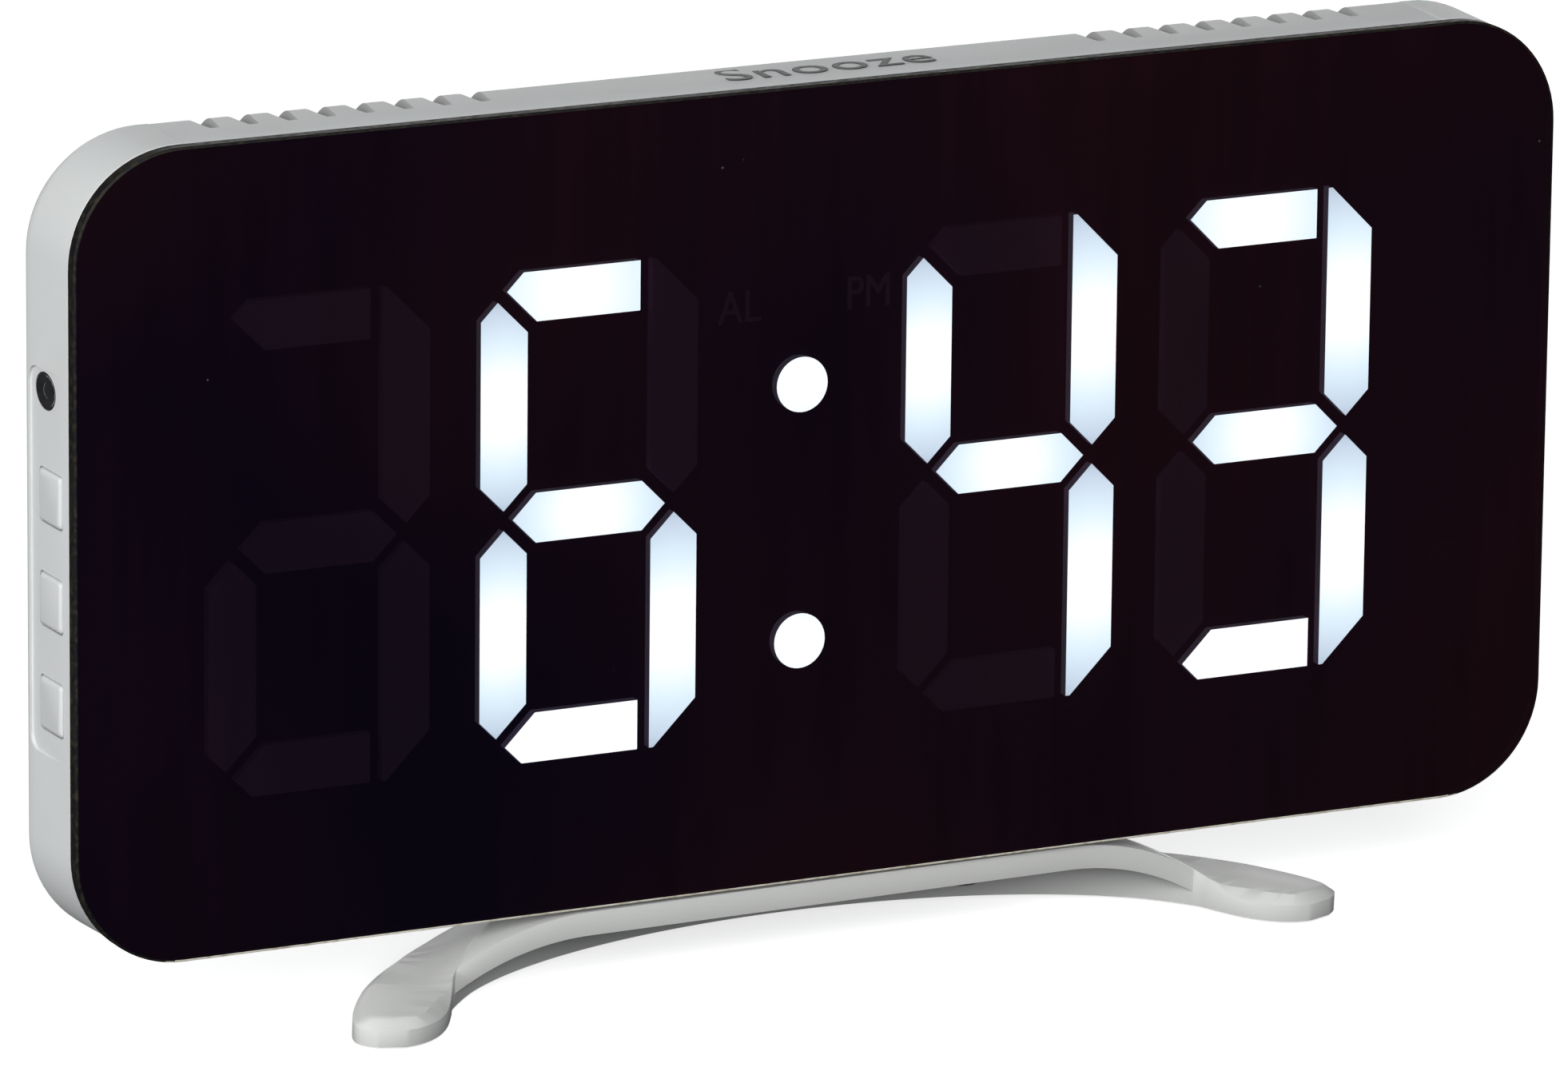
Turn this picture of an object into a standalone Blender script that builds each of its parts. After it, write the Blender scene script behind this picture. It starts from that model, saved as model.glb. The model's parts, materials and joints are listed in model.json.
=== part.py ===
"""Mirror-faced LED alarm clock on a crescent stand, every piece its own solid.

The clock is drawn upright in its own frame (millimetres: x right, y back from the face of the
front panel, z up from its lower edge) and hung on an empty that leans it back on the stand.
The stand is drawn in the world's frame, on the ground.
"""

from math import cos, hypot, pi, radians, sin, sqrt, tan

import bmesh
import bpy

MM = 0.001
FIT = 0.3  # clearance between neighbouring pieces

# Clock outline and depth
WIDTH = 165.0
HEIGHT = 82.3
CORNER = 11.5
GLASS = 1.4
CASE_FRONT = GLASS + FIT
CASE_BACK = 12.0
CASE_WALL = 1.8
CASE_TOP_WALL = 4.2  # top of the case down to the cavity, under the snooze bar
EDGE_ROUND = 1.5
LEDGE = 7.0
LEDGE_BACK = 3.2

# How the clock stands
LEAN = radians(4.0)
LIFT = 9.2  # lower front edge of the glass above the ground
Y_CENTRE = 9.8  # the ground's middle, behind the lower front edge of the glass

# Display
DISPLAY_X = -2.3
DISPLAY_Z = 40.3
DIGIT_OFFSETS = (-52.9, -23.55, 23.55, 52.9)
DIGIT_HALF_W = 11.92
DIGIT_HALF_H = 25.1
STROKE = 5.1
DIGIT_CHAMFER = 4.64
TIP_GAP = 1.0
BUTT_GAP = 1.32
DOT_RADIUS = 2.84
DOT_HEIGHTS = (50.9, 24.4)
MASK_Y = (GLASS + 0.35, 2.2)
DIFFUSER_Y = (2.5, 3.3)
LIGHT_BOX_Y = (3.6, 7.2)
LED_BOARD_Y = (7.5, 8.5)
CONTROL_BOARD_Y = (9.9, 10.9)
BOARD_X = (-70.3, 65.7)
BOARD_Z = (10.5, 70.1)
DIFFUSER_HALF = (13.1, 27.4)  # plate behind one digit
COLON_HALF_W, COLON_Z = 10.0, (19.0, 64.0)
ISLAND_SET = 0.2  # lit islands stand this far behind the front of the mask
BOARD_SCREW_X, BOARD_SCREW_Z = 38.2, (20.0, 54.0)
BOARD_HOLE = 1.1
LED_HALF_W, LED_HALF_H, LED_TALL = 1.4, 0.8, 0.9

# Control board, x and z
CONTROL_X, CONTROL_Z = (-50.0, 48.0), (13.0, 55.0)
CHIPS = (((-12, -2), 1.4, (26, 36)), ((4, 9), 1.2, (40, 46)), ((2, 10), 2.0, (20, 23)))
HEADER_HALF, HEADER_Z = 16.0, (47.0, 50.0)
BUZZER_X, BUZZER_Z, BUZZER_RADIUS, BUZZER_TALL = -32.0, 36.0, 6.0, 3.1
HOLDER_HALF, HOLDER_REAR = 12.2, 14.7

# Rear cover and battery bay
COVER_Y = 10.4
HUMP_X = 58.0
HUMP_Z = (9.0, 60.0)
HUMP_BACK = 17.0
HUMP_WALL = 1.8
CELL_X, CELL_Z = 32.0, 34.0
CELL_RADIUS = 10.0
CELL_Y = (12.0, 15.2)
DOOR_HALF = 14.0
DOOR_Y = (15.6, 17.0)
DOOR_TONGUE = 0.9
BAY_HALF = 12.5
SOUND_SLOTS, SOUND_FIRST, SOUND_PITCH, SOUND_Z = 5, -38.0, 3.0, (31.0, 41.0)
BOSS_X, BOSS_LOW, BOSS_DOWN = 74.6, 8.4, 11.0  # case screws, the last down from the top
BOSS_RADIUS, BOSS_HOLE = 2.6, 1.3
SCREW_RECESS = 1.0

# Keys
BUTTON_HEIGHTS = {"mode": 46.7, "up": 36.2, "down": 25.7}
BUTTON_Y = 5.6
BUTTON_SIZE = 5.3
BUTTON_PROUD = 0.3
STRIP_DEPTH = 0.35
STRIP_Y = (2.6, 10.3)
STRIP_Z = (20.5, 59.4)
SENSOR_Y, SENSOR_Z = 6.8, 57.2
SENSOR_RADIUS = 2.1
SNOOZE_HALF = 70.0
SNOOZE_THICK = 1.9
SNOOZE_GAP = 0.9
SNOOZE_FINGER_X = 45.0
GROOVE_FIRST, GROOVE_PITCH, GROOVES = 34.3, 4.16, 8
GROOVE_HALF, GROOVE_DEEP, GROOVE_LONG = 1.15, 0.75, 4.0
FINGER_LONG = 3.6
KEY_REACH = 4.2  # from the side of the case to the end of a button
KEY_FLANGE_Y, KEY_FLANGE_HALF = (3.7, 9.1), 3.6
SWITCH_LONG = 3.7
KEY_BOARD_Y, KEY_BOARD_Z, KEY_BOARD_THICK = (3.6, 9.5), (20.5, 62.0), 0.8

# Power inlet
INLET_Z = 21.0
INLET_Y = 6.05
INLET_LONG = 13.0
INLET_HALF = (3.75, 5.7)  # half width along y, half height
INLET_PROUD = 1.3
INLET_BORE = 3.15

# Stand, in ground coordinates measured back from the glass
BASE_Z = 0.3
TOP_Z = 8.5
DECK_THICK = 2.5
SHOULDER_X = 27.0
SHOULDER_R = 26.9
PAD_Z = 3.0
INNER_A, INNER_B = 45.0, 21.0
INNER_APEX = 13.2
OUTER_R, OUTER_APEX = 65.0, 27.0
RIDGE_STEP = 0.15
TOE = ((42.8, -1.6, 50.9, 2.4), (44.5, -4.4, 52.8, -0.3), (46.1, -6.3, 54.3, -2.9),
       (47.7, -7.5, 55.1, -5.1), (49.4, -8.2, 54.7, -6.5), (51.0, -8.4, 53.5, -7.6))
STAND_X = 0.4  # the stand's middle, off the clock's
STAND_SCREWS = {"left": (STAND_X - 18.0, 6.0), "right": (STAND_X + 18.0, 6.0)}
STAND_SEAT = 3.6
FEET = {"left": (-49.8, -3.5, 3.1, 3.1), "right": (49.8, -3.5, 3.1, 3.1),
        "rear": (0.0, 20.0, 9.0, 3.0)}  # middle and half sizes


# ---------------------------------------------------------------- mesh helpers

def clear_scene():
    for item in list(bpy.data.objects):
        bpy.data.objects.remove(item)


def material(name, colour, roughness, metallic=0.0):
    made = bpy.data.materials.new(name)
    made.use_nodes = True
    shader = made.node_tree.nodes["Principled BSDF"]
    shader.inputs["Base Color"].default_value = (*colour, 1.0)
    shader.inputs["Roughness"].default_value = roughness
    shader.inputs["Metallic"].default_value = metallic
    return made


def loft(bm, loops):
    """Closed body through loops of equal length, with flat caps on the first and last."""
    rings = [[bm.verts.new(point) for point in loop] for loop in loops]
    for near, far in zip(rings, rings[1:]):
        for i in range(len(near)):
            j = (i + 1) % len(near)
            bm.faces.new((near[i], near[j], far[j], far[i]))
    bm.faces.new(rings[0])
    bm.faces.new(rings[-1])


def slab(bm, outline, y0, y1):
    """Outline in x and z, as thick as y0 to y1."""
    loft(bm, [[(x, y, z) for x, z in outline] for y in (y0, y1)])


def block(bm, x, y, z):
    """Box between pairs of x, y and z."""
    slab(bm, [(x[0], z[0]), (x[1], z[0]), (x[1], z[1]), (x[0], z[1])], *y)


def drum(bm, axis, centre, profile, sides=20):
    """Turned body: profile is (distance along axis, radius) pairs."""
    loops = []
    for along, radius in profile:
        loop = []
        for i in range(sides):
            a, b = radius * cos(2 * pi * i / sides), radius * sin(2 * pi * i / sides)
            if axis == "x":
                loop.append((along, centre[0] + a, centre[1] + b))
            elif axis == "y":
                loop.append((centre[0] + a, along, centre[1] + b))
            else:
                loop.append((centre[0] + a, centre[1] + b, along))
        loops.append(loop)
    loft(bm, loops)


def rounded(x, z, radius, steps=5):
    """Rectangle outline between pairs of x and z with round corners."""
    points = []
    corners = ((x[1], z[1], 0), (x[0], z[1], 1), (x[0], z[0], 2), (x[1], z[0], 3))
    for cx, cz, quarter in corners:
        mx = cx - radius if quarter in (0, 3) else cx + radius
        mz = cz - radius if quarter in (0, 1) else cz + radius
        for i in range(steps + 1):
            angle = (quarter + i / steps) * pi / 2
            points.append((mx + radius * cos(angle), mz + radius * sin(angle)))
    return points


def circle(x, z, radius, sides):
    return [(x + radius * cos(2 * pi * i / sides), z + radius * sin(2 * pi * i / sides))
            for i in range(sides)]


def clock_outline(inset, steps=7):
    half = WIDTH / 2 - inset
    return rounded((-half, half), (inset, HEIGHT - inset), CORNER - inset, steps)


def grown(outline, margin):
    """A convex outline with every side moved out by margin."""
    count = len(outline)
    mx = sum(p[0] for p in outline) / count
    mz = sum(p[1] for p in outline) / count
    lines = []
    for (x0, z0), (x1, z1) in zip(outline, outline[1:] + outline[:1]):
        length = hypot(x1 - x0, z1 - z0)
        nx, nz = (z1 - z0) / length, (x0 - x1) / length
        if nx * (x0 - mx) + nz * (z0 - mz) < 0:
            nx, nz = -nx, -nz
        lines.append((nx, nz, nx * x0 + nz * z0 + margin))
    corners = []
    for (a, b, c), (d, e, f) in zip(lines[-1:] + lines[:-1], lines):
        det = a * e - b * d
        corners.append(((c * e - b * f) / det, (a * f - c * d) / det))
    return corners


class Workshop:
    """Makes objects from drawing functions and keeps the clock's leaning frame."""

    def __init__(self):
        self.frame = bpy.data.objects.new("clock_frame", None)
        bpy.context.scene.collection.objects.link(self.frame)
        self.frame.rotation_euler = (-LEAN, 0, 0)
        self.frame.location = (0, -Y_CENTRE * MM, LIFT * MM)

    def piece(self, name, finish, draw, origin=(0, 0, 0), on_clock=True, smooth=0):
        bm = bmesh.new()
        draw(bm)
        for vert in bm.verts:
            vert.co = [(c - o) * MM for c, o in zip(vert.co, origin)]
        bmesh.ops.recalc_face_normals(bm, faces=bm.faces)
        mesh = bpy.data.meshes.new(name)
        bm.to_mesh(mesh)
        bm.free()
        if finish:
            mesh.materials.append(finish)
        if smooth:
            mesh.shade_smooth()
            mesh.set_sharp_from_angle(angle=radians(smooth))
        made = bpy.data.objects.new(name, mesh)
        bpy.context.scene.collection.objects.link(made)
        if on_clock:
            made.parent = self.frame
        made.location = [o * MM for o in origin]
        return made

    def change(self, target, how, draw, on_clock=True):
        """Adds an exact Boolean: how is DIFFERENCE, UNION or INTERSECT."""
        tool = self.piece(target.name + "_tool", None, draw, on_clock=on_clock)
        tool.hide_render = True
        tool.display_type = "WIRE"
        step = target.modifiers.new(how.lower(), "BOOLEAN")
        step.operation = how
        step.solver = "EXACT"
        step.object = tool
        return target


# ---------------------------------------------------------------- display

def digit_segments(offset):
    """The seven outlines of one digit: joined corners, pointed ends, square butts."""
    w, h, s = DIGIT_HALF_W, DIGIT_HALF_H, STROKE
    mitre = h - w
    bevel = w + h - DIGIT_CHAMFER
    tip = w - s / 2 - TIP_GAP
    low = TIP_GAP + s / 2
    upper_left = [(-w, low), (-w, bevel - w), ((mitre - TIP_GAP - bevel) / 2,
                  (mitre - TIP_GAP + bevel) / 2), (s - w, mitre - TIP_GAP + w - s),
                  (s - w, low), (s / 2 - w, TIP_GAP)]
    top = [((mitre + TIP_GAP - bevel) / 2, (mitre + TIP_GAP + bevel) / 2), (h - bevel, h),
           (w - s - BUTT_GAP, h), (w - s - BUTT_GAP, h - s),
           (mitre + TIP_GAP - h + s, h - s)]
    upper_right = [(w - s, low), (w - s, h), (bevel - h, h), (w, bevel - w), (w, low),
                   (w - s / 2, TIP_GAP)]
    middle = [(-tip, 0), (s / 2 - tip, s / 2), (tip - s / 2, s / 2), (tip, 0),
              (tip - s / 2, -s / 2), (s / 2 - tip, -s / 2)]
    upper = {"a": top, "f": upper_left, "b": upper_right}
    lower = {pair[0]: [(x, -z) for x, z in upper[pair[1]]] for pair in ("da", "ef", "cb")}
    cx = DISPLAY_X + offset
    every = {**upper, **lower, "g": middle}
    return {name: [(cx + x, DISPLAY_Z + z) for x, z in shape]
            for name, shape in sorted(every.items())}


def all_windows():
    shapes = []
    for offset in DIGIT_OFFSETS:
        shapes += digit_segments(offset).values()
    shapes += [circle(DISPLAY_X, z, DOT_RADIUS, 16) for z in DOT_HEIGHTS]
    return shapes


def centre_of(outline):
    xs = [p[0] for p in outline]
    zs = [p[1] for p in outline]
    return (min(xs) + max(xs)) / 2, (min(zs) + max(zs)) / 2


def make_display(shop, finishes):
    windows = all_windows()

    def cells(bm, y0, y1):
        for shape in windows:
            slab(bm, grown(shape, FIT), y0, y1)

    shop.piece("front_panel", finishes["glass"],
               lambda bm: slab(bm, clock_outline(0.0), 0, GLASS), smooth=30)
    edge = LEDGE + FIT
    half = WIDTH / 2 - edge
    mask = shop.piece("display_mask", finishes["black"], lambda bm: slab(
        bm, rounded((-half, half), (edge, HEIGHT - edge), 5.0), *MASK_Y))
    shop.change(mask, "DIFFERENCE", lambda bm: cells(bm, MASK_Y[0] - 1, MASK_Y[1] + 1))

    for number, offset in enumerate(DIGIT_OFFSETS, 1):
        cx = DISPLAY_X + offset
        digit = shop.piece(f"diffuser_digit_{number}", finishes["diffuser"], lambda bm: block(
            bm, (cx - DIFFUSER_HALF[0], cx + DIFFUSER_HALF[0]), DIFFUSER_Y,
            (DISPLAY_Z - DIFFUSER_HALF[1], DISPLAY_Z + DIFFUSER_HALF[1])))

        def islands(bm):
            for shape in digit_segments(offset).values():
                slab(bm, shape, MASK_Y[0] + ISLAND_SET, DIFFUSER_Y[0] + 0.2)
        shop.change(digit, "UNION", islands)

    colon = shop.piece("diffuser_colon", finishes["diffuser"], lambda bm: block(
        bm, (DISPLAY_X - COLON_HALF_W, DISPLAY_X + COLON_HALF_W), DIFFUSER_Y, COLON_Z))

    def dots(bm):
        for z in DOT_HEIGHTS:
            slab(bm, circle(DISPLAY_X, z, DOT_RADIUS, 16),
                 MASK_Y[0] + ISLAND_SET, DIFFUSER_Y[0] + 0.2)
    shop.change(colon, "UNION", dots)

    screws = [(DISPLAY_X + x, z) for x in (-BOARD_SCREW_X, BOARD_SCREW_X)
              for z in BOARD_SCREW_Z]
    light_box = shop.piece("light_box", finishes["reflector"], lambda bm: slab(
        bm, rounded(BOARD_X, BOARD_Z, 2.0, 3), *LIGHT_BOX_Y))

    def box_cuts(bm):
        cells(bm, LIGHT_BOX_Y[0] - 1, LIGHT_BOX_Y[1] + 1)
        for x, z in screws:
            slab(bm, circle(x, z, BOARD_HOLE, 10), LIGHT_BOX_Y[0] + 0.4, LIGHT_BOX_Y[1] + 1)
    shop.change(light_box, "DIFFERENCE", box_cuts)

    board = shop.piece("led_board", finishes["board"], lambda bm: slab(
        bm, rounded(BOARD_X, BOARD_Z, 2.0, 3), *LED_BOARD_Y))

    def leds(bm):
        for shape in windows:
            x, z = centre_of(shape)
            block(bm, (x - LED_HALF_W, x + LED_HALF_W),
                  (LED_BOARD_Y[0] - LED_TALL, LED_BOARD_Y[0] + 0.1),
                  (z - LED_HALF_H, z + LED_HALF_H))
    shop.change(board, "UNION", leds)
    shop.change(board, "DIFFERENCE", lambda bm: [slab(
        bm, circle(x, z, BOARD_HOLE, 10), LED_BOARD_Y[0] - 1, LED_BOARD_Y[1] + 1)
        for x, z in screws])
    head = LED_BOARD_Y[1] + FIT
    for number, place in enumerate(screws, 1):
        shop.piece(f"board_screw_{number}", finishes["steel"], lambda bm: drum(
            bm, "y", place, ((LIGHT_BOX_Y[0] + 0.7, 0.8), (head, 0.8), (head, 1.7),
                             (head + 0.7, 1.4)), 12),
            smooth=30)


def make_control(shop, finishes):
    board = shop.piece("control_board", finishes["board"], lambda bm: block(
        bm, CONTROL_X, CONTROL_BOARD_Y, CONTROL_Z))

    def chips(bm):
        for x, tall, z in CHIPS:
            block(bm, x, (CONTROL_BOARD_Y[1] - 0.1, CONTROL_BOARD_Y[1] + tall), z)
    shop.change(board, "UNION", chips)
    shop.piece("board_header", finishes["black"], lambda bm: block(
        bm, (-HEADER_HALF, HEADER_HALF), (LED_BOARD_Y[1] + FIT, CONTROL_BOARD_Y[0] - FIT),
        HEADER_Z))
    rear = CONTROL_BOARD_Y[1] + FIT
    place = (BUZZER_X, BUZZER_Z)
    buzzer = shop.piece("buzzer", finishes["black"], lambda bm: drum(
        bm, "y", place, ((rear, BUZZER_RADIUS), (rear + BUZZER_TALL - 0.3, BUZZER_RADIUS),
                         (rear + BUZZER_TALL, BUZZER_RADIUS - 0.3))), smooth=30)
    shop.change(buzzer, "DIFFERENCE", lambda bm: drum(
        bm, "y", place, ((rear + BUZZER_TALL / 2, 1.1), (rear + BUZZER_TALL + 1, 1.1)), 12))
    holder = shop.piece("cell_holder", finishes["black"], lambda bm: slab(bm, rounded(
        (CELL_X - HOLDER_HALF, CELL_X + HOLDER_HALF),
        (CELL_Z - HOLDER_HALF, CELL_Z + HOLDER_HALF), 2.5, 3), rear, HOLDER_REAR))

    def pocket(bm):
        drum(bm, "y", (CELL_X, CELL_Z), ((CELL_Y[0] - FIT, CELL_RADIUS + FIT),
                                         (CELL_Y[1] + 1, CELL_RADIUS + FIT)), 32)
    shop.change(holder, "DIFFERENCE", pocket)
    shop.change(holder, "DIFFERENCE", lambda bm: block(
        bm, (CELL_X - 4, CELL_X + 4), (CELL_Y[0] - FIT, HOLDER_REAR + 1),
        (CELL_Z - HOLDER_HALF - 1, CELL_Z - 9)))
    shop.piece("coin_cell", finishes["steel"], lambda bm: drum(
        bm, "y", (CELL_X, CELL_Z), (
            (CELL_Y[0], CELL_RADIUS - 1), (CELL_Y[0] + 0.4, CELL_RADIUS - 1),
            (CELL_Y[0] + 0.4, CELL_RADIUS - 0.3), (CELL_Y[0] + 0.8, CELL_RADIUS),
            (CELL_Y[1], CELL_RADIUS)), 32), smooth=30)
    shop.piece("cell_contact", finishes["brass"], lambda bm: block(
        bm, (CELL_X - 3, CELL_X + 3), (CELL_Y[0], HOLDER_REAR - FIT),
        (CELL_Z - HOLDER_HALF + 0.8, CELL_Z - CELL_RADIUS - 0.7)))


# ---------------------------------------------------------------- case

def case_bosses():
    return [(x, z) for x in (-BOSS_X, BOSS_X) for z in (BOSS_LOW, HEIGHT - BOSS_DOWN)]


def make_case(shop, finishes):
    def shell(bm):
        loops = []
        for y, inset in ((CASE_FRONT, 0.1), (CASE_BACK - EDGE_ROUND, 0.1),
                         (CASE_BACK - 0.75, 0.3), (CASE_BACK - 0.2, 0.85), (CASE_BACK, 1.6)):
            loops.append([(x, y, z) for x, z in clock_outline(inset)])
        loft(bm, loops)

    case = shop.piece("housing_frame", finishes["white"], shell, smooth=35)
    inner = WIDTH / 2 - CASE_WALL
    cavity = ((-inner, inner), (CASE_WALL, HEIGHT - CASE_TOP_WALL))

    def hollow(bm):
        slab(bm, rounded(*cavity, CORNER - CASE_WALL, 7), LEDGE_BACK, CASE_BACK + 1)
    shop.change(case, "DIFFERENCE", hollow)
    window = WIDTH / 2 - LEDGE
    shop.change(case, "DIFFERENCE", lambda bm: slab(bm, rounded(
        (-window, window), (LEDGE, HEIGHT - LEDGE), 5.3), 0, LEDGE_BACK + 1))
    seat = HEIGHT - SNOOZE_THICK - SNOOZE_GAP
    end = SNOOZE_HALF + FIT
    shop.change(case, "DIFFERENCE", lambda bm: block(
        bm, (-end, end), (0, CASE_BACK + 1), (seat, HEIGHT + 1)))

    def bosses(bm):
        for x, z in case_bosses():
            drum(bm, "y", (x, z), ((LEDGE_BACK - 0.4, BOSS_RADIUS),
                                   (COVER_Y - FIT, BOSS_RADIUS)), 14)
        for place in STAND_SCREWS.values():
            drum(bm, "z", place, ((CASE_WALL - 0.4, 2.2), (7.0, 2.2)), 14)
    shop.change(case, "UNION", bosses)

    def holes(bm):
        for x, z in case_bosses():
            drum(bm, "y", (x, z), ((5.0, BOSS_HOLE), (COVER_Y + 1, BOSS_HOLE)), 12)
        for place in STAND_SCREWS.values():
            drum(bm, "z", place, ((-1, 1.3), (6.0, 1.3)), 12)
        left = -WIDTH / 2
        loft(bm, [[(x, y, z) for y, z in rounded(STRIP_Y, STRIP_Z, 1.6, 3)]
                  for x in (left - 1, left + STRIP_DEPTH)])
    shop.change(case, "DIFFERENCE", holes)

    def side_cuts(bm):
        left = -WIDTH / 2
        reach = BUTTON_SIZE / 2 + FIT
        for z in BUTTON_HEIGHTS.values():
            loft(bm, [[(x, y, w) for y, w in rounded(
                (BUTTON_Y - reach, BUTTON_Y + reach), (z - reach, z + reach), 0.8, 2)]
                for x in (left - 1, left + 4)])
        drum(bm, "x", (SENSOR_Y, SENSOR_Z), ((left - 1, SENSOR_RADIUS), (left + 4, SENSOR_RADIUS)))
        dy, dz = INLET_HALF
        block(bm, (WIDTH / 2 - LEDGE - 1, WIDTH / 2 + 1), (INLET_Y - dy - FIT, INLET_Y + dy + FIT),
              (INLET_Z - dz - FIT, INLET_Z + dz + FIT))
        for x in (-SNOOZE_FINGER_X, SNOOZE_FINGER_X):
            block(bm, (x - 1.6, x + 1.6), (4.6, 8.2), (seat - 3, seat + 1))
    shop.change(case, "DIFFERENCE", side_cuts)


def make_cover(shop, finishes):
    inner = WIDTH / 2 - CASE_WALL - FIT
    low, high = CASE_WALL + FIT, HEIGHT - CASE_TOP_WALL - FIT
    cover = shop.piece("rear_cover", finishes["white"], lambda bm: slab(bm, rounded(
        (-inner, inner), (low, high), CORNER - CASE_WALL - FIT, 7), COVER_Y, CASE_BACK),
        smooth=35)

    def hump(bm):
        loops = []
        for y, inset in ((COVER_Y + 0.6, 0), (HUMP_BACK - 1.6, 0.5), (HUMP_BACK - 0.5, 0.9),
                         (HUMP_BACK, 1.9)):
            loops.append([(x, y, z) for x, z in rounded(
                (inset - HUMP_X, HUMP_X - inset), (HUMP_Z[0] + inset, HUMP_Z[1] - inset),
                7.0 - inset)])
        loft(bm, loops)
    shop.change(cover, "UNION", hump)

    def inside(bm):
        wall = HUMP_WALL + 0.6
        slab(bm, rounded((wall - HUMP_X, HUMP_X - wall), (HUMP_Z[0] + wall, HUMP_Z[1] - wall),
                         5.0), COVER_Y - 1, HUMP_BACK - HUMP_WALL)
    shop.change(cover, "DIFFERENCE", inside)

    half = DOOR_HALF + FIT
    tongue = half + DOOR_TONGUE
    shop.change(cover, "DIFFERENCE", lambda bm: block(
        bm, (CELL_X - half, HUMP_X + 2), (DOOR_Y[0] - FIT, HUMP_BACK + 1),
        (CELL_Z - half, CELL_Z + half)))
    shop.change(cover, "DIFFERENCE", lambda bm: block(
        bm, (CELL_X - half, HUMP_X + 2), (DOOR_Y[0] - FIT, DOOR_Y[0] + 0.8),
        (CELL_Z - tongue, CELL_Z + tongue)))
    shop.change(cover, "DIFFERENCE", lambda bm: block(
        bm, (CELL_X - BAY_HALF, CELL_X + BAY_HALF), (CELL_Y[0], HUMP_BACK + 1),
        (CELL_Z - BAY_HALF, CELL_Z + BAY_HALF)))

    inlet_back = WIDTH / 2 + INLET_PROUD - INLET_LONG - FIT
    inlet_reach = INLET_HALF[1] + FIT
    shop.change(cover, "DIFFERENCE", lambda bm: block(
        bm, (inlet_back, WIDTH / 2), (COVER_Y - 1, INLET_Y + INLET_HALF[0] + FIT),
        (INLET_Z - inlet_reach, INLET_Z + inlet_reach)))

    def holes(bm):
        for i in range(SOUND_SLOTS):
            x = SOUND_FIRST + SOUND_PITCH * i
            slab(bm, rounded((x - 0.7, x + 0.7), SOUND_Z, 0.69, 3),
                 HUMP_BACK - HUMP_WALL - 1, HUMP_BACK + 1)
        floor = CASE_BACK - SCREW_RECESS
        for place in case_bosses():
            drum(bm, "y", place, ((COVER_Y - 1, 1.4), (floor, 1.4), (floor, 2.7),
                                  (CASE_BACK + 1, 2.7)), 16)
    shop.change(cover, "DIFFERENCE", holes)

    head = CASE_BACK - SCREW_RECESS + FIT
    for number, place in enumerate(case_bosses(), 1):
        screw = shop.piece(f"case_screw_{number}", finishes["steel"], lambda bm: drum(
            bm, "y", place, ((5.4, 0.7), (6.2, 1.0), (head, 1.0), (head, 2.2),
                             (CASE_BACK - 0.2, 2.2), (CASE_BACK, 1.9)), 16), smooth=30)
        x, z = place

        def slot(bm):
            block(bm, (x - 1.3, x + 1.3), (CASE_BACK - 0.4, CASE_BACK + 1), (z - 0.25, z + 0.25))
        shop.change(screw, "DIFFERENCE", slot)

    half = DOOR_HALF
    origin = (CELL_X, DOOR_Y[1], CELL_Z)

    def door(bm):
        block(bm, (CELL_X - half, CELL_X + half), DOOR_Y, (CELL_Z - half, CELL_Z + half))
    lid = shop.piece("battery_door", finishes["white"], door, origin)
    shop.change(lid, "UNION", lambda bm: block(
        bm, (CELL_X - half, CELL_X + half), (DOOR_Y[0], DOOR_Y[0] + 0.5),
        (CELL_Z - half - DOOR_TONGUE, CELL_Z + half + DOOR_TONGUE)))
    shop.change(lid, "DIFFERENCE", lambda bm: [block(
        bm, (CELL_X - 10.5 + i, CELL_X - 10 + i), (DOOR_Y[1] - 0.4, DOOR_Y[1] + 1),
        (CELL_Z - 7, CELL_Z + 7)) for i in (0, 1.5, 3, 4.5)])


# ---------------------------------------------------------------- keys and switches

def tact_switch(shop, finishes, name, tip, axis):
    """Switch whose plunger's free end is at tip and points along axis, -x or +z."""
    x, y, z = tip
    if axis == "-x":
        body = ((x + 1.2, x + SWITCH_LONG), (y - 2.0, y + 2.0), (z - 3.0, z + 3.0))
        pocket = ((x + 0.5, x + 2.7), (y - 0.9, y + 0.9), (z - 1.4, z + 1.4))
        stem = ((x, x + 1.9), (y - 0.6, y + 0.6), (z - 1.1, z + 1.1))
    else:
        body = ((x - 3.0, x + 3.0), (y - 0.2, y + 1.9), (z - SWITCH_LONG, z - 1.2))
        pocket = ((x - 1.4, x + 1.4), (y, y + 1.5), (z - 2.7, z - 0.5))
        stem = ((x - 1.1, x + 1.1), (y + 0.3, y + 1.2), (z - 1.9, z))
    switch = shop.piece(f"{name}_switch", finishes["steel"], lambda bm: block(bm, *body))
    shop.change(switch, "DIFFERENCE", lambda bm: block(bm, *pocket))
    shop.piece(f"{name}_plunger", finishes["black"], lambda bm: block(bm, *stem), tip)


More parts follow.
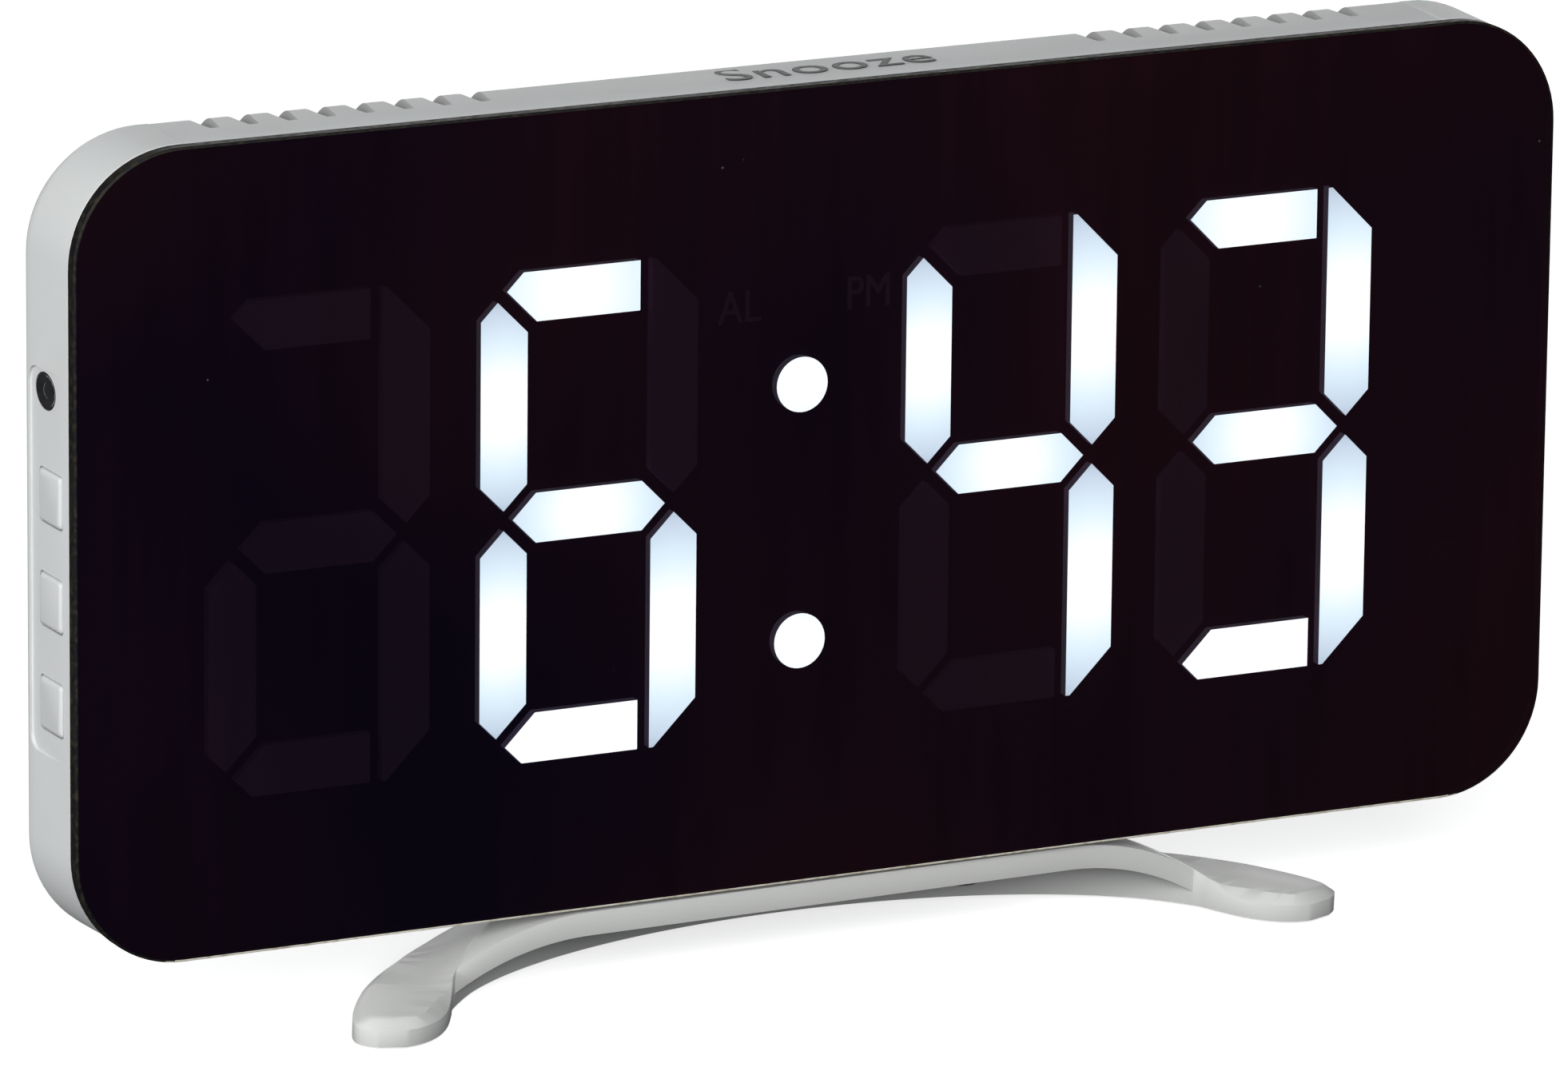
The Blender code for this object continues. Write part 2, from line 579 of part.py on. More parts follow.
def make_keys(shop, finishes):
    left = -WIDTH / 2
    back = left + KEY_REACH
    for name, z in BUTTON_HEIGHTS.items():
        def cap(bm):
            half = BUTTON_SIZE / 2
            loops = []
            for x, inset in ((left - BUTTON_PROUD, 0.35), (left - BUTTON_PROUD + 0.3, 0),
                             (left + CASE_WALL + FIT, 0)):
                loops.append([(x, y, w) for y, w in rounded(
                    (BUTTON_Y - half + inset, BUTTON_Y + half - inset),
                    (z - half + inset, z + half - inset), 0.8 - inset / 2, 3)])
            loft(bm, loops)
        origin = (left - BUTTON_PROUD, BUTTON_Y, z)
        button = shop.piece(f"{name}_button", finishes["white"], cap, origin)
        shop.change(button, "UNION", lambda bm: block(
            bm, (left + CASE_WALL + FIT - 0.1, left + CASE_WALL + 1.4), KEY_FLANGE_Y,
            (z - KEY_FLANGE_HALF, z + KEY_FLANGE_HALF)))
        shop.change(button, "UNION", lambda bm: block(
            bm, (left + CASE_WALL + 1.0, back), (BUTTON_Y + 0.2, BUTTON_Y + 2.2),
            (z - 1.0, z + 1.0)))
        tact_switch(shop, finishes, name, (back + FIT, BUTTON_Y + 1.2, z), "-x")
    board_x = back + FIT + SWITCH_LONG + FIT
    shop.piece("key_board", finishes["board"], lambda bm: block(
        bm, (board_x, board_x + KEY_BOARD_THICK), KEY_BOARD_Y, KEY_BOARD_Z))
    shop.piece("light_sensor", finishes["sensor"], lambda bm: drum(
        bm, "x", (SENSOR_Y, SENSOR_Z), ((left + 0.8, 0.8), (left + 1.1, 1.3), (left + 1.8, 1.55),
                                        (board_x - FIT, 1.55)), 16), smooth=40)

    top = HEIGHT
    underside = top - SNOOZE_THICK

    def bar(bm):
        section = ((CASE_FRONT, underside), (CASE_FRONT, top - 0.1),
                   (CASE_BACK - EDGE_ROUND, top - 0.1), (CASE_BACK - 0.75, top - 0.3),
                   (CASE_BACK - 0.2, top - 0.85), (CASE_BACK, top - 1.6), (CASE_BACK, underside))
        loft(bm, [[(x, y, z) for y, z in section] for x in (-SNOOZE_HALF, SNOOZE_HALF)])
    origin = (0, (CASE_FRONT + CASE_BACK) / 2, top)
    key = shop.piece("snooze_bar", finishes["white"], bar, origin, smooth=35)

    def grooves(bm):
        front, rear = CASE_BACK - GROOVE_LONG, CASE_BACK + 0.6
        for side in (-1, 1):
            for i in range(GROOVES):
                x = side * (GROOVE_FIRST + GROOVE_PITCH * i)
                loft(bm, [[(x - 0.15, front, top - 0.08), (x + 0.15, front, top - 0.08),
                           (x + 0.15, front, top + 0.5), (x - 0.15, front, top + 0.5)],
                          [(x - 0.45, rear, top - 0.85 - GROOVE_DEEP),
                           (x + 0.45, rear, top - 0.85 - GROOVE_DEEP),
                           (x + GROOVE_HALF + 0.6, rear, top + 0.5),
                           (x - GROOVE_HALF - 0.6, rear, top + 0.5)]])
    shop.change(key, "DIFFERENCE", grooves)
    finger = underside - FINGER_LONG

    def fingers(bm):
        for x in (-SNOOZE_FINGER_X, SNOOZE_FINGER_X):
            block(bm, (x - 1.2, x + 1.2), (5.0, 7.8), (finger, underside + 0.2))
    shop.change(key, "UNION", fingers)
    for side, x in (("left", -SNOOZE_FINGER_X), ("right", SNOOZE_FINGER_X)):
        tact_switch(shop, finishes, f"snooze_{side}", (x, 5.6, finger - FIT), "+z")


def make_inlet(shop, finishes):
    dy, dz = INLET_HALF
    face = WIDTH / 2 + INLET_PROUD
    back = face - INLET_LONG

    def body(bm):
        block(bm, (back, face), (INLET_Y - dy, INLET_Y + dy), (INLET_Z - dz, INLET_Z + dz))
    inlet = shop.piece("power_inlet", finishes["black"], body)
    place = (INLET_Y, INLET_Z)
    shop.change(inlet, "DIFFERENCE", lambda bm: drum(
        bm, "x", place, ((back + 3.0, INLET_BORE), (face + 1, INLET_BORE)), 24))
    shop.piece("power_inlet_pin", finishes["brass"], lambda bm: drum(
        bm, "x", place, ((back + 3.0 + FIT, 1.0), (face - 2.0, 1.0), (face - 1.4, 0.6)), 12),
        smooth=30)


# ---------------------------------------------------------------- stand

def top_height(x, crown=TOP_Z, radius=SHOULDER_R):
    """Height of the arch over x: level in the middle, a quarter round at each shoulder."""
    over = max(0.0, abs(x) - SHOULDER_X)
    return crown - radius + sqrt(max(radius ** 2 - over ** 2, 0.0))


def inner_y(x):
    return INNER_APEX - INNER_B + INNER_B * sqrt(max(1 - (x / INNER_A) ** 2, 0.0))


def outer_y(x):
    return OUTER_APEX - OUTER_R + sqrt(OUTER_R ** 2 - x ** 2)


def stand_stations():
    """Inner and outer plan points from the left toe to the right one."""
    half = []
    count = 12
    for i in range(count + 1):
        share = i / count
        xi, xo = 42.0 * share, 49.8 * share
        half.append((xi, inner_y(xi), xo, outer_y(xo)))
    half += TOE
    return [(-a, b, -c, d) for a, b, c, d in reversed(half[1:])] + half


def make_stand(shop, finishes):
    def to_ground(points):
        return [(x + STAND_X, y - Y_CENTRE, z) for x, y, z in points]

    def crescent(bm):
        loops = []
        for xi, yi, xo, yo in stand_stations():
            toe = min(max((abs(xi) - 30.0) / 12.0, 0.0), 1.0)
            blend = toe * toe * (3 - 2 * toe)
            ridge = max(top_height(xi) - tan(LEAN) * max(yi, 0) + RIDGE_STEP, PAD_Z)
            dx, dy = xi - xo, yi - yo
            share = min(1.3 / hypot(dx, dy), 0.45)
            edge = 1.2 + 0.9 * blend
            slope = edge + (ridge - edge) * share * 1.6
            shelf = slope + (PAD_Z - slope) * blend
            sx, sy = xo + dx * share, yo + dy * share
            mid_z = (ridge + shelf) / 2 * (1 - blend) + PAD_Z * blend + 0.25 * (1 - blend)
            mx, my = (xi + sx) / 2, (yi + sy) / 2
            loops.append(to_ground([
                (xi, yi, BASE_Z), (xi, yi, ridge - 0.02), (mx, my, mid_z), (sx, sy, shelf),
                (xo, yo, edge), (xo, yo, BASE_Z)]))
        loft(bm, loops)

    stand = shop.piece("stand", finishes["white"], crescent, on_clock=False, smooth=35)

    def deck(bm):
        xs = [-42.4 + 84.8 * i / 40 for i in range(41)]
        slope = tan(LEAN)
        far = 15.0
        loops = []
        for x in xs:
            top = top_height(x)
            low = max(top_height(x, TOP_Z - DECK_THICK, 27.8), BASE_Z)
            loops.append(to_ground([
                (x, 0, low), (x, 0, top), (x, far, top - slope * far),
                (x, far, low - slope * far)]))
        loft(bm, loops)

    def plan(bm):
        outline = [(x, inner_y(x) + 0.5) for x in (-42.3 + 84.6 * i / 36 for i in range(37))]
        outline += [(42.3, -1.0), (-42.3, -1.0)]
        loft(bm, [to_ground([(x, y, z) for x, y in outline]) for z in (BASE_Z - 1, TOP_Z + 2)])

    shelf = shop.piece("stand_deck_tool", None, deck, on_clock=False)
    shelf.hide_render = True
    shelf.display_type = "WIRE"
    shop.change(shelf, "INTERSECT", plan, on_clock=False)
    join = stand.modifiers.new("deck", "BOOLEAN")
    join.operation = "UNION"
    join.solver = "EXACT"
    join.object = shelf

    def seats(bm):
        for place in STAND_SCREWS.values():
            drum(bm, "z", place, ((-1.6, STAND_SEAT), (-FIT, STAND_SEAT)), 20)
    shop.change(stand, "UNION", seats)

    def bores(bm):
        for place in STAND_SCREWS.values():
            drum(bm, "z", place, ((-6, 1.4), (1, 1.4)), 12)
    shop.change(stand, "DIFFERENCE", bores)
    for side, place in STAND_SCREWS.items():
        under = -0.7 - DECK_THICK - FIT
        shop.piece(f"stand_screw_{side}", finishes["steel"], lambda bm: drum(
            bm, "z", place, ((under - 0.8, 2.0), (under, 2.4), (under, 1.0), (5.4, 1.0)),
            16), smooth=30)

    def foot(bm, name, margin, z0, z1):
        x, y, hx, hy = FEET[name]
        outline = rounded((x - hx - margin, x + hx + margin), (y - hy - margin, y + hy + margin),
                          min(hx, hy) - 0.2 + margin, 4)
        loft(bm, [to_ground([(px, py, z) for px, py in outline]) for z in (z0, z1)])

    def sockets(bm):
        for name in FEET:
            foot(bm, name, FIT, BASE_Z - 1, BASE_Z + 0.8)
    shop.change(stand, "DIFFERENCE", sockets, on_clock=False)
    for name in FEET:
        shop.piece(f"foot_pad_{name}", finishes["rubber"],
                   lambda bm: foot(bm, name, 0, 0, BASE_Z + 0.5), on_clock=False)


def main():
    clear_scene()
    finishes = {
        "glass": material("black_mirror", (0.012, 0.010, 0.013), 0.06),
        "white": material("white_plastic", (0.74, 0.76, 0.75), 0.42),
        "black": material("black_plastic", (0.02, 0.02, 0.022), 0.5),
        "diffuser": material("diffuser_plastic", (0.85, 0.9, 0.95), 0.4),
        "reflector": material("reflector_plastic", (0.82, 0.82, 0.8), 0.5),
        "board": material("circuit_board", (0.02, 0.16, 0.06), 0.5),
        "steel": material("plated_steel", (0.6, 0.6, 0.62), 0.3, 1.0),
        "brass": material("contact_brass", (0.7, 0.55, 0.25), 0.3, 1.0),
        "sensor": material("sensor_lens", (0.06, 0.06, 0.07), 0.2),
        "rubber": material("foot_rubber", (0.25, 0.26, 0.27), 0.85),
    }
    shop = Workshop()
    make_display(shop, finishes)
    make_control(shop, finishes)
    make_case(shop, finishes)
    make_cover(shop, finishes)
    make_keys(shop, finishes)
    make_inlet(shop, finishes)
    make_stand(shop, finishes)
    bpy.context.view_layer.update()


main()
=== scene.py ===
"""Bedside alarm clock with a black half-mirror front: the looks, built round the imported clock.

Shapes are drawn in millimetres. The clock's pieces use the clock's own leaning frame (x right,
y back from the face of the glass, z up from its lower edge), and the stand's use the ground's
(the same x and y, z up from the floor).
"""

import json
from math import atan2, ceil, copysign, cos, hypot, pi, radians, sin, sqrt, tan

import bmesh
import bpy
from mathutils import Matrix, Vector


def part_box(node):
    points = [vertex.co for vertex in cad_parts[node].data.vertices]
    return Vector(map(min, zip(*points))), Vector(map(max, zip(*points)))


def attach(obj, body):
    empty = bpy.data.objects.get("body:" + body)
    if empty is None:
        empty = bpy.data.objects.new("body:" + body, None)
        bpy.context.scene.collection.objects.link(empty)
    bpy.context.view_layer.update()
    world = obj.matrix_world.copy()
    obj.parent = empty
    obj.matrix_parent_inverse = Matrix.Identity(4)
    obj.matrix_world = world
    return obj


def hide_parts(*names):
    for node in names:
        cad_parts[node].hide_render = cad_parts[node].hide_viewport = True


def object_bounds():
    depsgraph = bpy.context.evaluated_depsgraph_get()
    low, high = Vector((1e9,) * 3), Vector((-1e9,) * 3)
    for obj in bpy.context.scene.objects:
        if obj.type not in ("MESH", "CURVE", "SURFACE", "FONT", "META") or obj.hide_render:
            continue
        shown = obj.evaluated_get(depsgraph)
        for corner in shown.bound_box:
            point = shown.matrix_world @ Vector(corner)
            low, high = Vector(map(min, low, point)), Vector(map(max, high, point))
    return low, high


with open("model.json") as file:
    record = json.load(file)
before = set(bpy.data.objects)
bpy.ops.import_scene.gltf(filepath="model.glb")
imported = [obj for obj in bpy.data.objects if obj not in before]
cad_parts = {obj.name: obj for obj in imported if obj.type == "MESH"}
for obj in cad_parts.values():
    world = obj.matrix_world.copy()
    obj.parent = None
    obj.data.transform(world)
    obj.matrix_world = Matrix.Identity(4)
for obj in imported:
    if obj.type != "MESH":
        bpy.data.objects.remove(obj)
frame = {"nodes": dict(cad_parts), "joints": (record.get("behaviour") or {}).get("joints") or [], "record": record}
cad_low, cad_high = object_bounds()

MM = 0.001
HAIR = 0.1  # gap that shows between two fitted pieces
BAR_SEAM = 0.02  # each end of the snooze bar fits closer
PAST = 1.0  # how far a cutting shape runs past what it cuts
SOFT = 0.12  # width of the small bevel on sharp edges

# Case and glass
CORNER, CORNER_STEPS = 11.5, 18
EDGE_ROUND, TOP_ROUND = 1.5, 2.6  # rear edge of the case: sides and top
GLASS_BEVEL = 0.25
GLASS_X, GLASS_Z = (0.45, -0.2), (-0.27, 0.46)  # the plate's inset: left, right; under, over
CASE_GAP, CASE_INSET, CASE_LIP = 0.06, 0.05, 0.04  # behind the glass, inside it, front edge
CASE_TAPER, TOP_DROP = 0.42, 0.15  # the case narrows to the front; its top sits lower
TAPER_END, TOP_TAPER = 9.0, 0.6  # where it is full width again; the top's share of the taper
CASE_WALL, CASE_ROOF = 1.8, 4.2
HOLLOW_FRONT, WINDOW_DEEP = 3.2, 4.2
LEDGE, WINDOW_ROUND = 7.0, 5.3
BORDER_RIM, BORDER_BACK, BORDER_PAST, BORDER_ROUND = 0.02, 0.05, 1.2, 4.5

# Display
DIGIT_HALF_W, DIGIT_HALF_H = 11.92, 25.1
STROKE, DIGIT_CHAMFER = 5.1, 4.64
TIP_GAP, BUTT_GAP = 1.0, 1.32
DOT_RADIUS, DOT_HEIGHTS, DOT_FADE = 2.84, (24.4, 50.9), 0.1
ISLAND_FACE, WALL_PAST = 1.75, 0.35  # front of a window; its walls go this far past the mask
ISLAND_RINGS, ISLAND_STEP = (1.0, 0.9, 0.72, 0.5, 0.25), 2.5
MASK_FACE, MASK_THICK, MASK_ROUND = 2.8, 0.15, 5.0
PLATE_ROUND, SLIT = 1.0, 0.01
SHOWN = {1: "", 2: "acdefg", 3: "bcfg", 4: "abcdg"}
FADE = {"a": 0.25, "d": 0.06, "g": 0.42}  # how much each bar dims toward its ends
# WALL_PAINTED_BOUNCE: faint glow on the windows' side walls, painted light standing in for light bounced onto them
UPRIGHT_FADE, FADE_START, WALL_PAINTED_BOUNCE = 0.62, 0.25, 0.02
LEGENDS = (("AL", -9.2, 57.85, 4.7), ("PM", 5.2, 58.05, 4.65))  # word, x, z, span
LEGEND_TALL, LEGEND_Y, LEGEND_THICK = 3.3, 2.1, 0.12

# Keys and light sensor on the left side
KEYS = ("mode", "up", "down")
KEY_Y, KEY_HALF, KEY_SET, KEY_GAP = 5.6, 2.65, 0.42, 0.14
KEY_ROUND, KEY_HOLE_ROUND, SIDE_HOLE = 0.45, 0.5, 4.0
KEY_CAP = ((0.0, 0.45), (0.06, 0.24), (0.2, 0.08), (0.42, 0.0), (2.2, 0.0))  # depth, inset
FLANGE_X, STEM_X, STEM_Y = (2.1, 3.5), 3.0, (0.2, 2.2)
STRIP_DEPTH, STRIP_ROUND, STRIP_EDGE = 0.35, 1.7, 0.1
STRIP_Y, STRIP_Z = (2.6, 10.3), (20.5, 59.4)
SENSOR_SET, SENSOR_HALF = 0.05, (2.5, 1.9)  # its hole is oval, wider than tall
SENSOR_FACE = ((-0.04, 0.03), (-0.02, 0.2), (0.08, 0.38), (0.25, 0.48), (0.25, 0.72),
               (0.0, 0.84), (0.0, 0.96), (0.1, 0.98))  # depth, share of the hole

# Snooze bar: its section, the fingers over its switches, its word, its grooves
BAR_SEAT, BAR_THICK, BAR_DROP, BAR_LIP = 2.8, 1.8, 0.05, 0.12
FINGER_X, FINGER_HALF, FINGER_Y = 45.0, 1.2, (5.0, 7.8)
WORD, WORD_TALL, WORD_SPAN, WORD_SPOT = "Snooze", 4.6, 23.2, (2.2, 4.3)
WORD_THICK, WORD_SPACED = 0.05, 1.06
GROOVE_MIDDLE, GROOVE_FIRST, GROOVE_PITCH, GROOVES = -1.0, 34.3, 4.16, 8
GROOVE_LONG, GROOVE_START, GROOVE_DEEP = 6.0, 0.12, 2.0
GROOVE_NEAR, GROOVE_FAR = (0.5, 0.9), (0.6, 1.7)  # half widths at the bottom and over the top

# Rear cover, battery door and screws
COVER_ROUND, COVER_EDGE, COVER_SET = 9.4, 0.2, 0.05
HUMP_X, HUMP_Z = (-58.0, 58.0), (9.0, 60.0)
HUMP_ROUND, HUMP_EDGE, HUMP_WALL, HUMP_SKIN, HUMP_INNER = 7.0, 1.7, 2.4, 1.8, 5.0
DOOR_HALF, DOOR_ROUND, RAIL_THICK, RAIL_SLOT = 14.0, 0.8, 0.5, 0.6
BAY_HALF, BAY_FRONT = 12.5, 12.0
RIBS, RIB_FIRST, RIB_PITCH = 5, 10.5, 1.5
RIB_WIDE, RIB_HALF, RIB_DEEP = 0.6, 7.0, 0.4
SOUND_SLOTS, SOUND_FIRST, SOUND_PITCH, SOUND_HALF, SOUND_Z = 5, -38.0, 3.0, 0.7, (31.0, 41.0)
SCREW_SINK, SCREW_BORE, SCREW_SEAT = 1.0, 1.4, 2.5
SCREW_TIP, SCREW_THREAD, SCREW_HEAD, HEAD_EDGE = (5.4, 0.5), 0.95, 2.2, 0.25
CROSS_LONG, CROSS_THIN, CROSS_DEPTH = 1.3, 0.28, 0.45

# Power socket
SOCKET_ROUND, SOCKET_FRONT = 0.6, ((0.35, 0.0), (0.1, 0.1), (0.0, 0.35))  # from the face, inset
SOCKET_BORE = ((-0.5, 3.15), (0.5, 4.1))  # past the face, radius
SOCKET_FLOOR, SOCKET_CLEAR, PIN_RADIUS = 3.0, 0.3, 1.0

# Stand, measured back from the glass and up from the floor; it sits a hair askew
STAND_SHIFT, STAND_TWIST, STAND_SPREAD = (0.75, 0.6), 0.7, 1.007
BASE_Z, TOP_Z = 0.3, 8.5
DECK_THICK, DECK_HALF, DECK_FAR, DECK_STEPS = 2.5, 42.4, 15.0, 120
PLAN_HALF, PLAN_STEPS, PLAN_LAP = 42.3, 96, 0.5
SHOULDER_X, SHOULDER_R, ARCH_R = 27.0, 26.9, 27.8
TOE_START, TOE_BLEND = 33.0, 9.0  # where the crescent flattens into a toe, and over how far
PAD_Z, PAD_BEVEL, PAD_START, PAD_BLEND = 3.0, 1.3, 42.4, 2.5
INNER_A, INNER_B, INNER_APEX, INNER_END = 45.0, 21.0, 13.2, 42.0
OUTER_R, OUTER_APEX, OUTER_END = 65.0, 27.0, 49.8
CRESCENT_STEPS = 12
TOE = ((42.8, -1.6, 50.9, 2.4), (44.5, -4.4, 52.8, -0.3), (46.1, -6.3, 54.3, -2.9),
       (47.7, -7.5, 55.1, -5.1), (49.4, -8.2, 54.7, -6.5), (51.0, -8.4, 53.5, -7.6))
RIDGE_LIFT, RIM_LOW, RIM_RISE, CROWN_LIFT = 0.15, 1.2, 0.9, 0.25
SLOPE_WIDE, SLOPE_STEEP, MOST_SHARE = 1.3, 1.6, 0.45
CHAMFER_FALL, TIP_DROP, INNER_SOFT = 0.69, 0.9, 0.03
STAND_BORE, GRIPS = (4.6, 1.4), ("left", "right", "rear")

# Camera, in metres, degrees and millimetres of lens and film
CAMERA_SPOT = (-0.53477, -1.03550, 0.42587)
CAMERA_TURN = (71.717, -2.381, -26.473)
CAMERA_LENS, CAMERA_FILM, CAMERA_CLIP = 279.82, 36.0, (0.05, 20.0)

# Studio: each softbox's spot and size in metres, and its watts
SOFTBOXES = {"left_softbox": ((-1.1, -0.25, 0.35), (0.9, 0.9), 12.4),
             "top_softbox": ((0.1, 0.1, 1.3), (1.2, 1.2), 0.4),
             "front_softbox": ((-0.25, -1.0, 0.62), (1.0, 0.6), 11.3),
             "rear_softbox": ((0.5, 1.1, 0.14), (0.9, 0.5), 3.0)}
FLOOR_HALF, FLOOR_GLOW = 3.0, 0.68
AIR_COLOUR, AIR_STRENGTH = (0.9, 0.95, 1.0), 0.05


# ---- frames and measures

def joint(name):
    return next(j for j in frame["joints"] if j["name"] == name)


press = joint("snooze_press")["axis"]
lean = atan2(-press[1], -press[2])
turn = Matrix.Rotation(-lean, 4, "X")
glass_points = [turn.inverted() @ v.co for v in frame["nodes"]["front_panel"].data.vertices]
glass_corner = turn @ Vector((0, min(p.y for p in glass_points), min(p.z for p in glass_points)))
CLOCK = Matrix.Translation(glass_corner) @ turn @ Matrix.Scale(MM, 4)
pad_boxes = [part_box(f"foot_pad_{side}") for side in GRIPS[:2]]
stand_x = (pad_boxes[0][0].x + pad_boxes[1][1].x) / 2
STRAIGHT = Matrix.Translation((stand_x, glass_corner.y, 0)) @ Matrix.Scale(MM, 4)
GROUND = STRAIGHT @ Matrix.Translation((*STAND_SHIFT, 0)) @ Matrix.Rotation(
    radians(STAND_TWIST), 4, "Z") @ Matrix.Diagonal((STAND_SPREAD, 1, 1, 1))


def measure(node, place=CLOCK):
    """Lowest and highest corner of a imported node, in millimetres in one of the two frames."""
    back = place.inverted()
    points = [back @ v.co for v in frame["nodes"][node].data.vertices]
    return (Vector([min(p[i] for p in points) for i in range(3)]),
            Vector([max(p[i] for p in points) for i in range(3)]))


def middle(node, place=CLOCK):
    low, high = measure(node, place)
    return (low + high) / 2


glass_low, glass_high = measure("front_panel")
HEIGHT = glass_high.z - glass_low.z
GLASS = glass_high.y - glass_low.y
SIDE = (glass_high.x - glass_low.x) / 2
CASE_FRONT = GLASS + CASE_GAP
CASE_BACK = measure("housing_frame")[1].y


# ---- outlines

def rounded(x, z, radius, steps=5):
    """Rectangle between pairs of x and z with round corners."""
    points = []
    for cx, cz, quarter in ((x[1], z[1], 0), (x[0], z[1], 1), (x[0], z[0], 2), (x[1], z[0], 3)):
        mx = cx - radius if quarter in (0, 3) else cx + radius
        mz = cz - radius if quarter in (0, 1) else cz + radius
        for i in range(steps + 1):
            angle = (quarter + i / steps) * pi / 2
            points.append((mx + radius * cos(angle), mz + radius * sin(angle)))
    return points


def ellipse(x, z, half, sides=48):
    return [(x + half[0] * cos(2 * pi * i / sides), z + half[1] * sin(2 * pi * i / sides))
            for i in range(sides)]


def circle(x, z, radius, sides):
    return ellipse(x, z, (radius, radius), sides)


def sensor_ring(share):
    """The sensor's hole, or a share of it."""
    spot = middle("light_sensor")
    return ellipse(spot.y, spot.z, (SENSOR_HALF[0] * share, SENSOR_HALF[1] * share))


def fall_off(y, radius):
    """How far a wall with a round rear edge of that radius has turned in at y."""
    past = y - (CASE_BACK - radius)
    return radius - sqrt(max(radius ** 2 - past ** 2, 0.0)) if past > 0 else 0.0


def rear_stations():
    """Depths that follow the top's rear rounding."""
    return [CASE_BACK - TOP_ROUND * (1 - sin(pi / 2 * i / 10)) for i in range(11)]


def smooth_step(value):
    """0 to 1 with level ends, held outside."""
    held = min(max(value, 0.0), 1.0)
    return held * held * (3 - 2 * held)


def taper(y):
    """How far the left side and the top have drawn in toward the front at y."""
    return CASE_TAPER * min(max((TAPER_END - y) / (TAPER_END - GLASS), 0.0), 1.0)


def plate_outline(inset):
    """The glass plate's own edge, or a line inside it."""
    return rounded((GLASS_X[0] + inset - SIDE, SIDE - GLASS_X[1] - inset),
                   (GLASS_Z[0] + inset, HEIGHT - GLASS_Z[1] - inset), CORNER - inset,
                   CORNER_STEPS)


def rounding(start, end, radius, steps):
    """(y, inset) pairs for a wall from start to end with a round far edge of that radius."""
    pairs = [(start, 0.0)]
    for i in range(steps + 1):
        angle = pi / 2 * i / steps
        pairs.append((end - radius + radius * sin(angle), radius * (1 - cos(angle))))
    return pairs


# ---- solids

def loft(bm, loops):
    """Closed body through loops of equal length, with flat caps on the first and last."""
    rings = [[bm.verts.new(point) for point in loop] for loop in loops]
    for near, far in zip(rings, rings[1:]):
        for i in range(len(near)):
            j = (i + 1) % len(near)
            bm.faces.new((near[i], near[j], far[j], far[i]))
    bm.faces.new(rings[0])
    bm.faces.new(rings[-1])


def slab(bm, outline, y0, y1):
    loft(bm, [[(x, y, z) for x, z in outline] for y in (y0, y1)])


def side_slab(bm, outline, x0, x1):
    """Outline in y and z, from x0 to x1."""
    loft(bm, [[(x, y, z) for y, z in outline] for x in (x0, x1)])


def floor_slab(bm, outline, z0, z1):
    loft(bm, [[(x, y, z) for x, y in outline] for z in (z0, z1)])


def block(bm, x, y, z):
    slab(bm, [(x[0], z[0]), (x[1], z[0]), (x[1], z[1]), (x[0], z[1])], *y)


def drum(bm, axis, centre, profile, sides):
    """Turned body: profile is (distance along axis, radius) pairs."""
    loops = []
    for along, radius in profile:
        ring = circle(*centre, radius, sides)
        if axis == "x":
            loops.append([(along, a, b) for a, b in ring])
        elif axis == "y":
            loops.append([(a, along, b) for a, b in ring])
        else:
            loops.append([(a, b, along) for a, b in ring])
    loft(bm, loops)


def placed(name, data):
    """A new object of the scene with that mesh, text, lamp or camera."""
    made = bpy.data.objects.new(name, data)
    bpy.context.scene.collection.objects.link(made)
    return made


def settled(holder):
    """The mesh that the object comes to, after which the object goes."""
    ready = holder.evaluated_get(bpy.context.evaluated_depsgraph_get())
    mesh = bpy.data.meshes.new_from_object(ready)
    bpy.data.objects.remove(holder)
    return mesh


class Draft:
    """A mesh in millimetres that is cut and joined before it becomes a piece."""

    def __init__(self, draw):
        self.mesh = self.drawn(draw)

    @staticmethod
    def drawn(draw):
        bm = bmesh.new()
        draw(bm)
        bmesh.ops.recalc_face_normals(bm, faces=bm.faces)
        mesh = bpy.data.meshes.new("draft")
        bm.to_mesh(mesh)
        bm.free()
        return mesh

    def through(self, *modifiers):
        """Runs the mesh through modifiers, each a (kind, settings) pair."""
        holder = placed("draft", self.mesh)
        for kind, settings in modifiers:
            step = holder.modifiers.new(kind.lower(), kind)
            for key, value in settings.items():
                setattr(step, key, value)
        self.mesh = settled(holder)
        return self

    def change(self, how, draw):
        tool = placed("tool", self.drawn(draw))
        self.through(("BOOLEAN", {"operation": how, "solver": "EXACT", "object": tool}))
        bpy.data.objects.remove(tool)
        return self

    def cut(self, draw):
        return self.change("DIFFERENCE", draw)

    def join(self, draw):
        return self.change("UNION", draw)

    def soften(self, width=SOFT, angle=50):
        """Rounds the sharp edges a little."""
        return self.through(("BEVEL", {"width": width, "segments": 2,
                                       "limit_method": "ANGLE", "angle_limit": radians(angle),
                                       "use_clamp_overlap": True}))


def piece(name, draft, slot, stands_for=(), body="clock", finishes=(), place=CLOCK, smooth=35):
    """Makes the draft a piece of the clock, in its place, riding on its body."""
    draft = draft if isinstance(draft, Draft) else Draft(draft)
    mesh = draft.mesh
    mesh.name = name
    mesh.transform(place)
    mesh.materials.clear()
    for finish in finishes or [slot]:
        mesh.materials.append(FINISH[finish])
    mesh.shade_smooth()
    mesh.set_sharp_from_angle(angle=radians(smooth))
    made = placed(name, mesh)
    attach(made, body)
    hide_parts(*stands_for)
    return made


# ---- finishes

